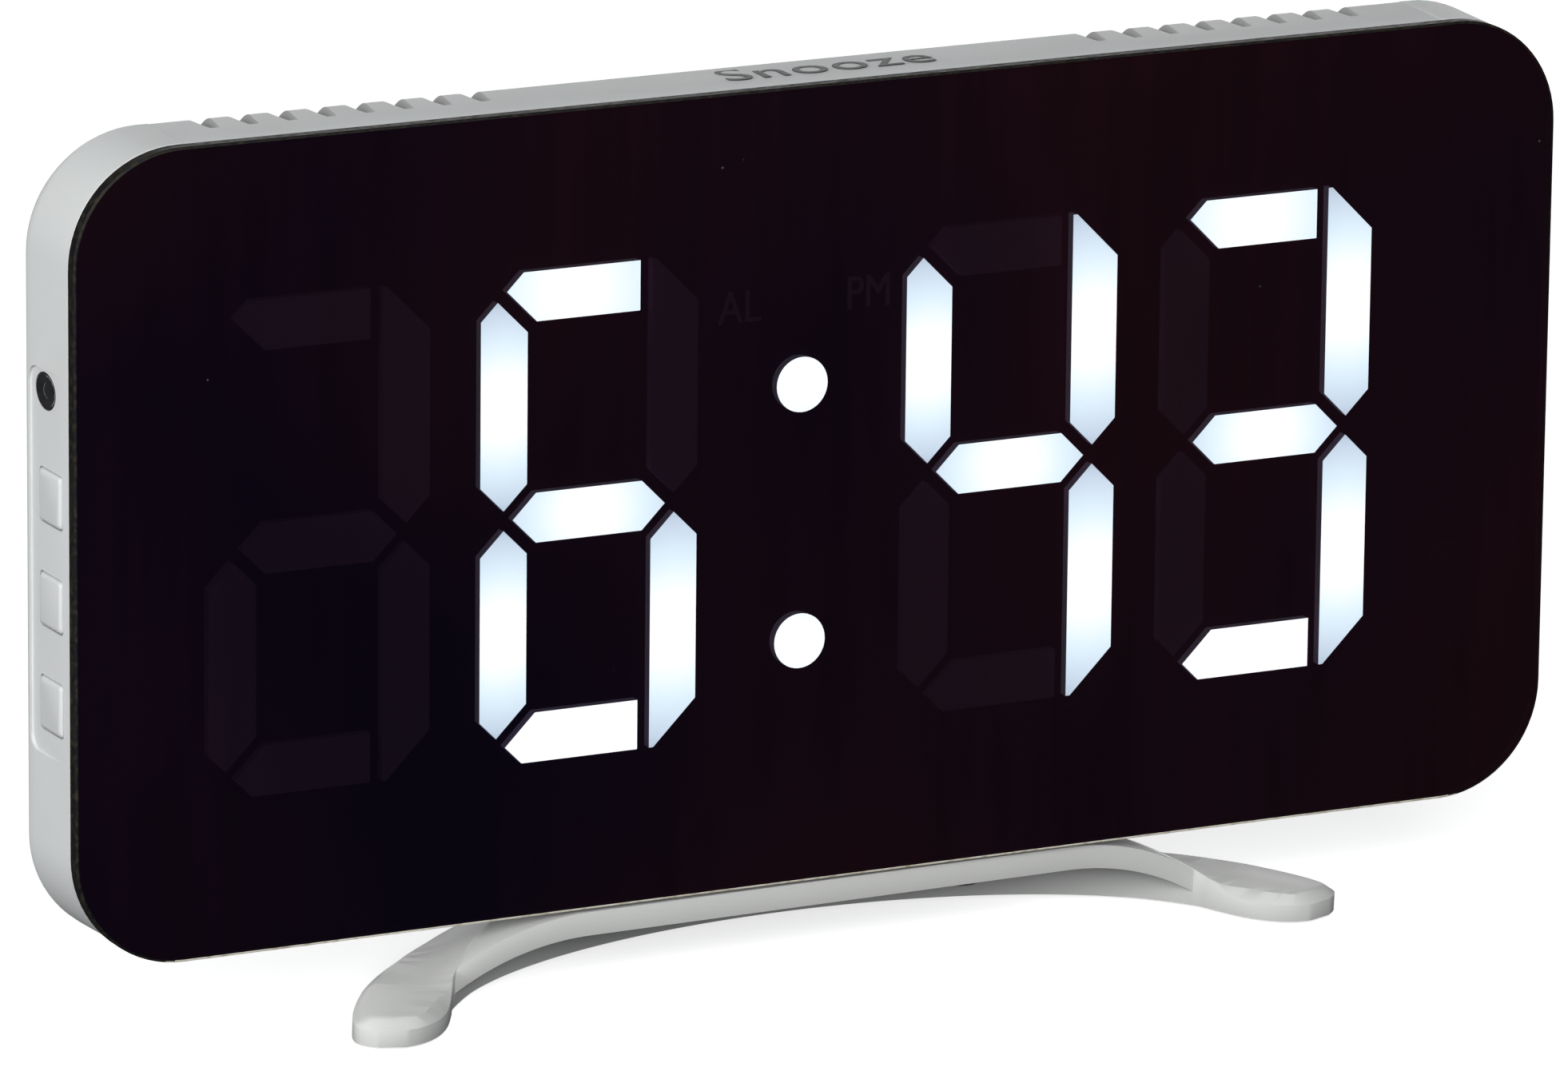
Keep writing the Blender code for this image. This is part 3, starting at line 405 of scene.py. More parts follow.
class Signal:
    """A node's output that works in Python sums; each sum adds Math nodes."""

    def __init__(self, paint, socket):
        self.paint = paint
        self.socket = socket

    def _math(self, operation, first, second):
        return self.paint.node("ShaderNodeMath", {"operation": operation}, {0: first, 1: second})

    def __add__(self, other):
        return self._math("ADD", self, other)

    def __radd__(self, other):
        return self._math("ADD", other, self)

    def __rsub__(self, other):
        return self._math("SUBTRACT", other, self)

    def __mul__(self, other):
        return self._math("MULTIPLY", self, other)

    def __rmul__(self, other):
        return self._math("MULTIPLY", other, self)

    def __gt__(self, other):
        return self._math("GREATER_THAN", self, other)

    def __lt__(self, other):
        return self._math("LESS_THAN", self, other)


class Paint:
    """One material: a Principled shader and what varies over the surface."""

    def __init__(self, name, colour, roughness, metallic=0.0, **uniform):
        self.material = bpy.data.materials.new(name)
        self.material.use_nodes = True
        self.tree = self.material.node_tree
        self.shader = self.tree.nodes["Principled BSDF"]
        self.feed("Base Color", (*colour, 1.0))
        self.feed("Roughness", roughness)
        self.feed("Metallic", metallic)
        for key, value in uniform.items():
            self.feed(key.replace("_", " "), value)

    def feed(self, socket, value):
        target = self.shader.inputs[socket]
        if isinstance(value, Signal):
            self.tree.links.new(value.socket, target)
        else:
            target.default_value = value

    def node(self, kind, settings=None, sockets=None, output=0):
        """Any node: its settings first, then the values or links of its sockets."""
        made = self.tree.nodes.new(kind)
        for key, value in (settings or {}).items():
            if key == "stops":
                ramp = made.color_ramp
                while len(ramp.elements) < len(value):
                    ramp.elements.new(0.5)
                for element, (place, colour) in zip(ramp.elements, value):
                    element.position = place
                    element.color = (*colour, 1.0)
            else:
                setattr(made, key, value)
        for key, value in (sockets or {}).items():
            if isinstance(value, Signal):
                self.tree.links.new(value.socket, made.inputs[key])
            else:
                made.inputs[key].default_value = value
        return Signal(self, made.outputs[output])

    def where(self, stretch=(1.0, 1.0, 1.0)):
        """The piece's own coordinates in metres, stretched."""
        spot = self.node("ShaderNodeTexCoord", output="Object")
        return self.node("ShaderNodeMapping", {}, {"Vector": spot, "Scale": stretch})

    def grain(self, scale, detail=2.0, stretch=(1.0, 1.0, 1.0)):
        """Noise from 0 to 1 with that many waves to the metre."""
        return self.node("ShaderNodeTexNoise", {}, {
            "Vector": self.where(stretch), "Scale": scale, "Detail": detail})

    def cells(self, scale, **settings):
        """Distance to the nearest of scattered points, with that many to the metre."""
        return self.node("ShaderNodeTexVoronoi", settings, {
            "Vector": self.where(), "Scale": scale}, "Distance")

    def blend(self, share, first, second):
        """Colour from first to second as share goes from 0 to 1."""
        first = first if isinstance(first, Signal) else (*first, 1.0)
        return self.node("ShaderNodeMix", {"data_type": "RGBA"},
                         {0: share, 6: first, 7: (*second, 1.0)}, output=2)

    def spread(self, value, low, high):
        """0 at low, 1 at high, held outside."""
        return self.node("ShaderNodeMapRange", {}, {
            "Value": value, "From Min": low, "From Max": high})

    def relief(self, height, depth):
        """Bump of that depth in metres."""
        self.feed("Normal", self.node("ShaderNodeBump", {}, {
            "Height": height, "Distance": depth, "Strength": 1.0}))


def moulded(name, colour, shade, roughness, grain_depth):
    """Injection-moulded plastic: faint mottling, handling smudges, fine tool texture."""
    paint = Paint(name, colour, roughness, Specular_IOR_Level=0.4)
    mottle = paint.spread(paint.grain(55.0, 3.0), 0.35, 0.7)
    specks = paint.spread(paint.cells(900.0), 0.035, 0.0)
    rare = paint.grain(160.0, 1.0) > 0.66
    base = paint.blend(mottle * 0.55, colour, shade)
    paint.feed("Base Color", paint.blend(specks * rare * 0.35, base, (0.25, 0.24, 0.22)))
    smudge = paint.spread(paint.grain(38.0, 4.0), 0.4, 0.75)
    paint.feed("Roughness", roughness - 0.06 + smudge * 0.12)
    paint.relief(paint.grain(3800.0, 2.0) + paint.grain(1300.0, 2.0) * 0.6, grain_depth)
    return paint.material


def mirror_glass():
    """Half-mirror front: nearly black, cloudy tints in upright streaks, a little dust."""
    paint = Paint("half_mirror_glass", (0.006, 0.003, 0.007), 0.07, Alpha=0.72,
                  Specular_IOR_Level=0.3)
    cloud = paint.spread(paint.grain(17.0, 2.0, (1.0, 1.0, 0.35)), 0.38, 0.66)
    streak = paint.grain(420.0, 3.0, (1.0, 1.0, 0.05))
    tint = paint.blend(cloud, (0.0034, 0.0012, 0.0068), (0.0125, 0.0032, 0.0085))
    warm = paint.spread(paint.grain(11.0, 1.0), 0.42, 0.6)
    tint = paint.blend(warm * 0.7, tint, (0.0165, 0.0040, 0.0050))
    tint = paint.blend(paint.spread(streak, 0.35, 0.75) * 0.35, tint, (0.002, 0.0015, 0.003))
    dust = paint.spread(paint.cells(330.0), 0.05, 0.02)
    few = paint.grain(90.0, 1.0) > 0.67
    paint.feed("Base Color", paint.blend(dust * few * 0.4, tint, (0.25, 0.25, 0.24)))
    paint.feed("Roughness", 0.06 + 0.05 * paint.grain(60.0, 3.0) + dust * few * 0.4)
    return paint.material


def glass_edge(name, ground, bright, share, scale):
    """Ground edge of the glass: dull, with nicks of a brighter bronze; its pale copy on the lower bevel is a
    painted highlight.
    """
    paint = Paint(name, ground, 0.5, Specular_IOR_Level=0.15)
    nick = paint.spread(paint.grain(scale, 4.0), 0.45, 0.7)
    paint.feed("Base Color", paint.blend(nick * share, ground, bright))
    paint.feed("Roughness", 0.45 + nick * 0.2)
    paint.relief(paint.grain(scale, 3.0), 0.00002)
    return paint.material


def mask_sheet():
    paint = Paint("mask_sheet", (0.012, 0.009, 0.014), 0.75, Specular_IOR_Level=0.2)
    weave = paint.grain(900.0, 3.0)
    paint.feed("Base Color", paint.blend(weave, (0.006, 0.003, 0.008), (0.018, 0.008, 0.018)))
    paint.relief(weave, 0.00003)
    return paint.material


def display_light():
    """Milky diffuser that glows by the "glow" value on each face corner."""
    paint = Paint("diffuser", (0.8, 0.7, 0.85), 0.5, Emission_Strength=13.5)
    glow = paint.node("ShaderNodeAttribute", {"attribute_name": "glow"}, output="Fac")
    mist = paint.grain(260.0, 3.0)
    paint.feed("Base Color", paint.blend(mist, (0.6, 0.38, 0.7), (0.78, 0.46, 0.74)))
    # the stop at 0.02 colours the side walls' glow, which is painted bounce light
    paint.feed("Emission Color", paint.node("ShaderNodeValToRGB", {"stops": (
        (0.0, (0.0, 0.0, 0.0)), (0.02, (0.0125, 0.012, 0.0165)), (0.45, (0.53, 0.64, 0.76)),
        (0.75, (0.74, 0.88, 0.97)), (1.0, (1.0, 1.0, 1.0)))}, {"Fac": glow}))
    paint.relief(mist, 0.00002)
    return paint.material


def ink(name, colour):
    """Pad-printed lettering, a little thin in places."""
    paint = Paint(name, colour, 0.5)
    worn = paint.spread(paint.grain(1800.0, 3.0), 0.55, 0.8)
    paint.feed("Base Color", paint.blend(worn * 0.35, colour, (0.16, 0.16, 0.17)))
    paint.feed("Roughness", 0.45 + worn * 0.2)
    return paint.material


def black_plastic():
    paint = Paint("black_plastic", (0.018, 0.018, 0.02), 0.45)
    cloud = paint.grain(120.0, 3.0)
    paint.feed("Base Color", paint.blend(cloud, (0.012, 0.012, 0.014), (0.03, 0.03, 0.032)))
    paint.feed("Roughness", 0.36 + 0.2 * paint.grain(300.0, 3.0))
    paint.relief(paint.grain(3500.0, 2.0), 0.00001)
    return paint.material


def reflector_plastic():
    paint = Paint("reflector_plastic", (0.82, 0.82, 0.8), 0.5)
    cloud = paint.grain(90.0, 3.0)
    paint.feed("Base Color", paint.blend(cloud, (0.86, 0.86, 0.84), (0.72, 0.72, 0.68)))
    paint.relief(paint.grain(2500.0, 2.0), 0.00001)
    return paint.material


def circuit_board():
    """Green solder mask with paler copper runs and small bright pads."""
    paint = Paint("circuit_board", (0.02, 0.16, 0.06), 0.4, Coat_Roughness=0.2)
    runs = paint.node("ShaderNodeTexBrick", {"offset": 0.35}, {
        "Vector": paint.where(), "Scale": 160.0, "Mortar Size": 0.05,
        "Color1": (0, 0, 0, 1), "Color2": (0, 0, 0, 1), "Mortar": (1, 1, 1, 1)})
    pads = paint.cells(420.0, distance="CHEBYCHEV") < 0.16
    some = paint.grain(300.0, 1.0) > 0.56
    mask = paint.blend(runs, (0.015, 0.11, 0.045), (0.03, 0.2, 0.08))
    bright = pads * some
    paint.feed("Base Color", paint.blend(bright, mask, (0.7, 0.68, 0.6)))
    paint.feed("Metallic", bright * 0.9)
    paint.feed("Roughness", 0.42 - bright * 0.12)
    paint.relief(runs, 0.00003)
    return paint.material


def metal(name, colour, dull, brushed):
    paint = Paint(name, colour, 0.3, 1.0)
    lines = paint.grain(1600.0, 3.0, brushed)
    spots = paint.spread(paint.grain(420.0, 4.0), 0.5, 0.75)
    paint.feed("Base Color", paint.blend(spots * 0.6, colour, dull))
    paint.feed("Roughness", 0.22 + 0.14 * lines + 0.15 * spots)
    paint.relief(lines, 0.00001)
    return paint.material


def sensor_lens():
    paint = Paint("sensor_lens", (0.03, 0.03, 0.034), 0.12, Coat_Weight=0.6, Coat_Roughness=0.05)
    haze = paint.grain(900.0, 2.0)
    paint.feed("Base Color", paint.blend(haze, (0.004, 0.004, 0.005), (0.03, 0.03, 0.033)))
    paint.feed("Roughness", 0.1 + haze * 0.12)
    return paint.material


def foot_rubber():
    paint = Paint("foot_rubber", (0.12, 0.13, 0.15), 0.85, Specular_IOR_Level=0.25)
    dust = paint.grain(500.0, 5.0)
    paint.feed("Base Color", paint.blend(dust, (0.09, 0.1, 0.12), (0.2, 0.21, 0.23)))
    paint.relief(paint.grain(2600.0, 3.0), 0.00004)
    return paint.material


FINISH = {
    "mirror_glass": mirror_glass(),
    # painted shade: a darker copy of the white plastic, laid on one wall of each snooze groove
    "groove_painted_shade": moulded("groove_painted_shade", (0.42, 0.42, 0.42), (0.36, 0.36, 0.35), 0.6,
                              0.000004),
    "white_plastic": moulded("white_plastic", (0.64, 0.655, 0.66), (0.60, 0.61, 0.605), 0.5,
                             0.000012),
    "stand_plastic": moulded("stand_plastic", (0.62, 0.63, 0.615), (0.57, 0.575, 0.56), 0.46,
                             0.000010),
    "black_plastic": black_plastic(),
    "diffuser": display_light(),
    "reflector": reflector_plastic(),
    "circuit_board": circuit_board(),
    "plated_steel": metal("plated_steel", (0.62, 0.62, 0.63), (0.42, 0.41, 0.4), (1, 1, 8)),
    "contact_brass": metal("contact_brass", (0.72, 0.56, 0.26), (0.5, 0.36, 0.16), (8, 1, 1)),
    "sensor_lens": sensor_lens(),
    "foot_rubber": foot_rubber(),
    "glass_edge": glass_edge("ground_glass_edge", (0.006, 0.006, 0.007), (0.05, 0.04, 0.02),
                             0.5, 1500.0),
    # painted highlight: a pale copy of the ground edge for the lower bevel
    "lower_edge_painted_highlight": glass_edge("lower_glass_edge_painted_highlight", (0.88, 0.85, 0.74), (0.3, 0.22, 0.1),
                             0.7, 900.0),
    "mask": mask_sheet(),
    "dark_ink": ink("dark_ink", (0.012, 0.012, 0.014)),
}


# ---- display

def digit_segments(cx, cz):
    """The seven outlines of one digit: joined corners, pointed ends, square butts."""
    w, h, s = DIGIT_HALF_W, DIGIT_HALF_H, STROKE
    mitre = h - w
    bevel = w + h - DIGIT_CHAMFER
    tip = w - s / 2 - TIP_GAP
    low = TIP_GAP + s / 2
    upper_left = [(-w, low), (-w, bevel - w), ((mitre - TIP_GAP - bevel) / 2,
                  (mitre - TIP_GAP + bevel) / 2), (s - w, mitre - TIP_GAP + w - s),
                  (s - w, low), (s / 2 - w, TIP_GAP)]
    top = [((mitre + TIP_GAP - bevel) / 2, (mitre + TIP_GAP + bevel) / 2), (h - bevel, h),
           (w - s - BUTT_GAP, h), (w - s - BUTT_GAP, h - s),
           (mitre + TIP_GAP - h + s, h - s)]
    upper_right = [(w - s, low), (w - s, h), (bevel - h, h), (w, bevel - w), (w, low),
                   (w - s / 2, TIP_GAP)]
    bar = [(-tip, 0), (s / 2 - tip, s / 2), (tip - s / 2, s / 2), (tip, 0),
           (tip - s / 2, -s / 2), (s / 2 - tip, -s / 2)]
    upper = {"a": top, "f": upper_left, "b": upper_right}
    lower = {pair[0]: [(x, -z) for x, z in upper[pair[1]]] for pair in ("da", "ef", "cb")}
    return {name: [(cx + x, cz + z) for x, z in shape]
            for name, shape in sorted({**upper, **lower, "g": bar}.items())}


def island(bm, layer, outline, lit, fade, wall_end):
    """One lit window: a face in rings round its lamp, with its side walls."""
    xs = [p[0] for p in outline]
    zs = [p[1] for p in outline]
    cx, cz = (min(xs) + max(xs)) / 2, (min(zs) + max(zs)) / 2
    reach = max(max(zs) - cz, max(xs) - cx)
    points = []
    for (x0, z0), (x1, z1) in zip(outline, outline[1:] + outline[:1]):
        parts = max(1, ceil(hypot(x1 - x0, z1 - z0) / ISLAND_STEP))
        points += [(x0 + (x1 - x0) * i / parts, z0 + (z1 - z0) * i / parts) for i in range(parts)]

    def brightness(vert):
        away = hypot(vert.co.x - cx, vert.co.z - cz) / reach
        dimmed = (away - FADE_START) / (1 - FADE_START)
        return lit * (1 - fade * min(max(dimmed, 0.0), 1.0))

    rings = []
    for share in ISLAND_RINGS:
        rings.append([bm.verts.new((cx + (x - cx) * share, ISLAND_FACE, cz + (z - cz) * share))
                      for x, z in points])
    hub = bm.verts.new((cx, ISLAND_FACE, cz))
    back = [bm.verts.new((x, wall_end, z)) for x, z in points]
    count = len(points)
    faces = []
    for i in range(count):
        j = (i + 1) % count
        for outer, inner in zip(rings, rings[1:]):
            faces.append(bm.faces.new((outer[i], outer[j], inner[j], inner[i])))
        faces.append(bm.faces.new((rings[-1][i], rings[-1][j], hub)))
        # painted light: the walls glow faintly in place of the light bounced onto them from the lit face
        wall = bm.faces.new((rings[0][j], rings[0][i], back[i], back[j]))
        for corner in wall.loops:
            corner[layer] = lit * WALL_PAINTED_BOUNCE
    for face in faces:
        for corner in face.loops:
            corner[layer] = brightness(corner.vert)
    bm.faces.new(back)


def glowing_piece(name, node, islands, wall_end):
    """Windows, each an (outline, brightness, fade), in front of their own diffuser plate."""
    plate_low, plate_high = measure(node)

    def draw(bm):
        layer = bm.loops.layers.float.new("glow")
        for outline, lit, fade in islands:
            island(bm, layer, outline, lit, fade, wall_end)
        slab(bm, rounded((plate_low.x, plate_high.x), (plate_low.z, plate_high.z), PLATE_ROUND),
             wall_end + SLIT, plate_high.y)
    piece(name, draw, "diffuser", [node])


def build_display():
    low, high = measure("display_mask")
    wall_end = MASK_FACE + WALL_PAST

    for number, shown in SHOWN.items():
        node = f"diffuser_digit_{number}"
        lo, hi = measure(node)
        shapes = digit_segments((lo.x + hi.x) / 2, (lo.z + hi.z) / 2)
        if number == 1:
            del shapes["f"]
        glowing_piece(f"digit_{number}", node, [
            (outline, float(name in shown), FADE.get(name, UPRIGHT_FADE))
            for name, outline in shapes.items()], wall_end)

    cx = middle("diffuser_colon").x
    glowing_piece("colon_dots", "diffuser_colon", [
        (circle(cx, z, DOT_RADIUS, 40), 1.0, DOT_FADE) for z in DOT_HEIGHTS], wall_end)

    def sheet(bm):
        slab(bm, rounded((low.x, high.x), (low.z, high.z), MASK_ROUND, 8), MASK_FACE,
             MASK_FACE + MASK_THICK)
    piece("mask_sheet", sheet, "black_plastic", ["display_mask"], finishes=["mask"])

    for word, x, z, span in LEGENDS:
        lettering(f"legend_{word.lower()}", word, (LEGEND_TALL, span, LEGEND_THICK),
                  "diffuser", "diffuser", Matrix.Translation((x, LEGEND_Y, z)), "clock")


def lettering(name, word, size, finish, slot, spot, body, spaced=1.0):
    """Plain raised letters of a size (tall, span, thick), on spot in the clock's frame."""
    tall, span, thick = size
    text = bpy.data.curves.new(name, "FONT")
    text.body = word
    text.align_x = "CENTER"
    text.extrude = thick / 2 / tall
    text.resolution_u = 6
    text.space_character = spaced
    mesh = settled(placed(name, text))
    rise = max(v.co.y for v in mesh.vertices)
    run = [v.co.x for v in mesh.vertices]
    wide = span / (max(run) - min(run))
    upright = Matrix.Rotation(pi / 2, 4, "X")
    mesh.transform(spot @ upright @ Matrix.Diagonal((wide, tall / rise, tall / rise, 1.0)))
    piece(name, lambda bm: bm.from_mesh(mesh), slot, (), body, [finish])


# ---- case and glass

def build_glass():
    def plate(bm):
        loft(bm, [[(x, y, z) for x, z in plate_outline(inset)] for y, inset in (
            (0.0, GLASS_BEVEL), (0.03, GLASS_BEVEL - 0.1), (0.16, 0.0), (GLASS - 0.05, 0.0),
            (GLASS, 0.05))])  # depth, inset
    panel = piece("front_glass", plate, "mirror_glass", ["front_panel"],
                  finishes=["mirror_glass", "glass_edge", "lower_edge_painted_highlight"])
    for face in panel.data.polygons:
        if len(face.vertices) == 4:  # rim: its bevel under the plate takes a pale copy of the edge finish, a painted highlight
            below = (CLOCK.inverted() @ face.center).z < GLASS_Z[0] + GLASS_BEVEL
            face.material_index = 2 if below and face.normal.y < -0.3 else 1


def build_border():
    """Black print behind the glass, from its rim to past the case's window."""
    def ring(bm):
        slab(bm, plate_outline(BORDER_RIM), GLASS + SLIT, GLASS + BORDER_BACK)

    def window(bm):
        half = SIDE - LEDGE - BORDER_PAST
        slab(bm, rounded((-half, half), (LEDGE + BORDER_PAST, HEIGHT - LEDGE - BORDER_PAST),
                         BORDER_ROUND, CORNER_STEPS), GLASS - PAST, GLASS + PAST)
    piece("printed_border", Draft(ring).cut(window), "black_plastic", finishes=["mask"])


def build_case():
    end = measure("snooze_bar")[1].x + BAR_SEAM
    inner = SIDE - CASE_WALL
    half = SIDE - LEDGE

    def shell(bm):
        loops = []
        for y, lip in [(CASE_FRONT, CASE_LIP), (CASE_FRONT + CASE_LIP, 0.0),
                       (CASE_FRONT + 0.6, 0.0)] + [(y, 0.0) for y in rear_stations()]:
            side = lip + CASE_INSET + fall_off(y, EDGE_ROUND)
            left = side + taper(y)
            top = lip + TOP_DROP + fall_off(y, TOP_ROUND) + taper(y) * TOP_TAPER
            loops.append([(x, y, z) for x, z in rounded(
                (left - SIDE, SIDE - side), (side, HEIGHT - top), CORNER - side, CORNER_STEPS)])
        loft(bm, loops)

    def hollow(bm):
        slab(bm, rounded((-inner, inner), (CASE_WALL, HEIGHT - CASE_ROOF), CORNER - CASE_WALL,
                         CORNER_STEPS), HOLLOW_FRONT, CASE_BACK + PAST)

    def window(bm):
        slab(bm, rounded((-half, half), (LEDGE, HEIGHT - LEDGE), WINDOW_ROUND), 0, WINDOW_DEEP)

    def strip(bm):
        outline = rounded(STRIP_Y, STRIP_Z, STRIP_ROUND, 8)
        steps = ((-SIDE - PAST, 0.0), (-SIDE + STRIP_DEPTH - STRIP_EDGE, 0.0),
                 (-SIDE + STRIP_DEPTH, STRIP_EDGE))
        cy, cz = sum(STRIP_Y) / 2, sum(STRIP_Z) / 2
        hy, hz = cy - STRIP_Y[0], cz - STRIP_Z[0]
        loft(bm, [[(x, cy + (y - cy) * (1 - inset / hy), cz + (z - cz) * (1 - inset / hz))
                   for y, z in outline] for x, inset in steps])

    def side_holes(bm):
        for name in KEYS:
            side_slab(bm, rounded(*[(a - KEY_GAP, b + KEY_GAP) for a, b in key_face(name)],
                                  KEY_HOLE_ROUND, 4), -SIDE - PAST, -SIDE + SIDE_HOLE)
        side_slab(bm, sensor_ring(1.0), -SIDE - PAST, -SIDE + SIDE_HOLE)
        lo, hi = measure("power_inlet")
        block(bm, (SIDE - LEDGE - PAST, SIDE + PAST), (lo.y - HAIR, hi.y + HAIR),
              (lo.z - HAIR, hi.z + HAIR))

    def bar_seat(bm):
        block(bm, (-end, end), (0, CASE_BACK + PAST), (HEIGHT - BAR_SEAT, HEIGHT + PAST))
    case = Draft(shell).cut(hollow).cut(window).cut(strip).cut(side_holes).soften().cut(bar_seat)
    piece("case", case, "white_plastic", ["housing_frame"], smooth=20)


def key_face(name):
    """(y pair, z pair) of the part of a key that shows."""
    lo, hi = measure(f"{name}_button")
    cz = (lo.z + hi.z) / 2
    return (KEY_Y - KEY_HALF, KEY_Y + KEY_HALF), (cz - KEY_HALF, cz + KEY_HALF)


def build_keys():
    for name in KEYS:
        ys, zs = key_face(name)
        lo, hi = measure(f"{name}_button")
        cz = (lo.z + hi.z) / 2

        def cap(bm):
            loft(bm, [[(lo.x + KEY_SET + depth, y, z) for y, z in rounded(
                (ys[0] + inset, ys[1] - inset), (zs[0] + inset, zs[1] - inset), KEY_ROUND)]
                for depth, inset in KEY_CAP])

        def flange(bm):
            block(bm, [lo.x + x for x in FLANGE_X], (lo.y, hi.y), (lo.z, hi.z))

        def stem(bm):
            block(bm, (lo.x + STEM_X, hi.x), [KEY_Y + y for y in STEM_Y], (cz - 1, cz + 1))
        piece(f"{name}_key", Draft(cap).join(flange).join(stem), "white_plastic",
              [f"{name}_button"], f"{name}_key", smooth=45)


def build_sensor():
    inner_end = measure("light_sensor")[1].x
    face = -SIDE + STRIP_DEPTH + SENSOR_SET

    def lens(bm):
        stations = [(face + depth, share) for depth, share in SENSOR_FACE]
        stations.append((inner_end, SENSOR_FACE[-1][1]))
        loft(bm, [[(x, y, z) for y, z in sensor_ring(share)] for x, share in stations])
    piece("sensor_lens", lens, "sensor_lens", ["light_sensor"], smooth=50)


# ---- snooze bar

def build_snooze():
    low, high = measure("snooze_bar")
    top = HEIGHT - TOP_DROP - BAR_DROP
    under = top - BAR_THICK

    def bar(bm):
        lip = top - taper(CASE_FRONT) * TOP_TAPER
        section = [(CASE_FRONT, under), (CASE_FRONT, lip - BAR_LIP),
                   (CASE_FRONT + CASE_LIP, lip - CASE_LIP), (CASE_FRONT + BAR_LIP, lip),
                   (TAPER_END, top)]
        section += [(y, top - fall_off(y, TOP_ROUND)) for y in rear_stations()
                    if top - fall_off(y, TOP_ROUND) > under + 0.05]
        reach = sqrt(TOP_ROUND ** 2 - (TOP_ROUND - BAR_THICK) ** 2)
        section.append((CASE_BACK - TOP_ROUND + reach, under))
        loft(bm, [[(x, y, z) for y, z in section] for x in (low.x, high.x)])

    def groove(bm, x):
        over = top + 0.5
        loops = []
        for y, z, (bottom, wide) in ((CASE_BACK - GROOVE_LONG, top - GROOVE_START, GROOVE_NEAR),
                                     (CASE_BACK + 0.6, top - GROOVE_DEEP, GROOVE_FAR)):
            loops.append([(x - bottom, y, z), (x + bottom, y, z), (x + wide, y, over),
                          (x - wide, y, over)])
        loft(bm, loops)

    def grooves(bm):
        for side in (-1, 1):
            for i in range(GROOVES):
                groove(bm, GROOVE_MIDDLE + side * (GROOVE_FIRST + GROOVE_PITCH * i))

    def fingers(bm):
        for x in (-FINGER_X, FINGER_X):
            block(bm, (x - FINGER_HALF, x + FINGER_HALF), FINGER_Y, (low.z, under + 0.2))
    made = piece("snooze_press_bar", Draft(bar).cut(grooves).join(fingers), "white_plastic",
                 ["snooze_bar"], "snooze_key", ["white_plastic", "groove_painted_shade"])
    for face in made.data.polygons:  # painted shade: groove walls that face away from the keys' side take a darker copy of the plastic
        spot = CLOCK.inverted() @ face.center
        if spot.z > under and spot.y > TAPER_END - 2 and abs(spot.x) < high.x - 1:
            face.material_index = int(face.normal.x < -0.3)
    flat = Matrix.Translation((*WORD_SPOT, top - BAR_DROP)) @ Matrix.Rotation(-pi / 2, 4, "X")
    lettering("snooze_lettering", WORD, (WORD_TALL, WORD_SPAN, WORD_THICK), "dark_ink",
              "black_plastic", flat, "snooze_key", WORD_SPACED)


# ---- rear

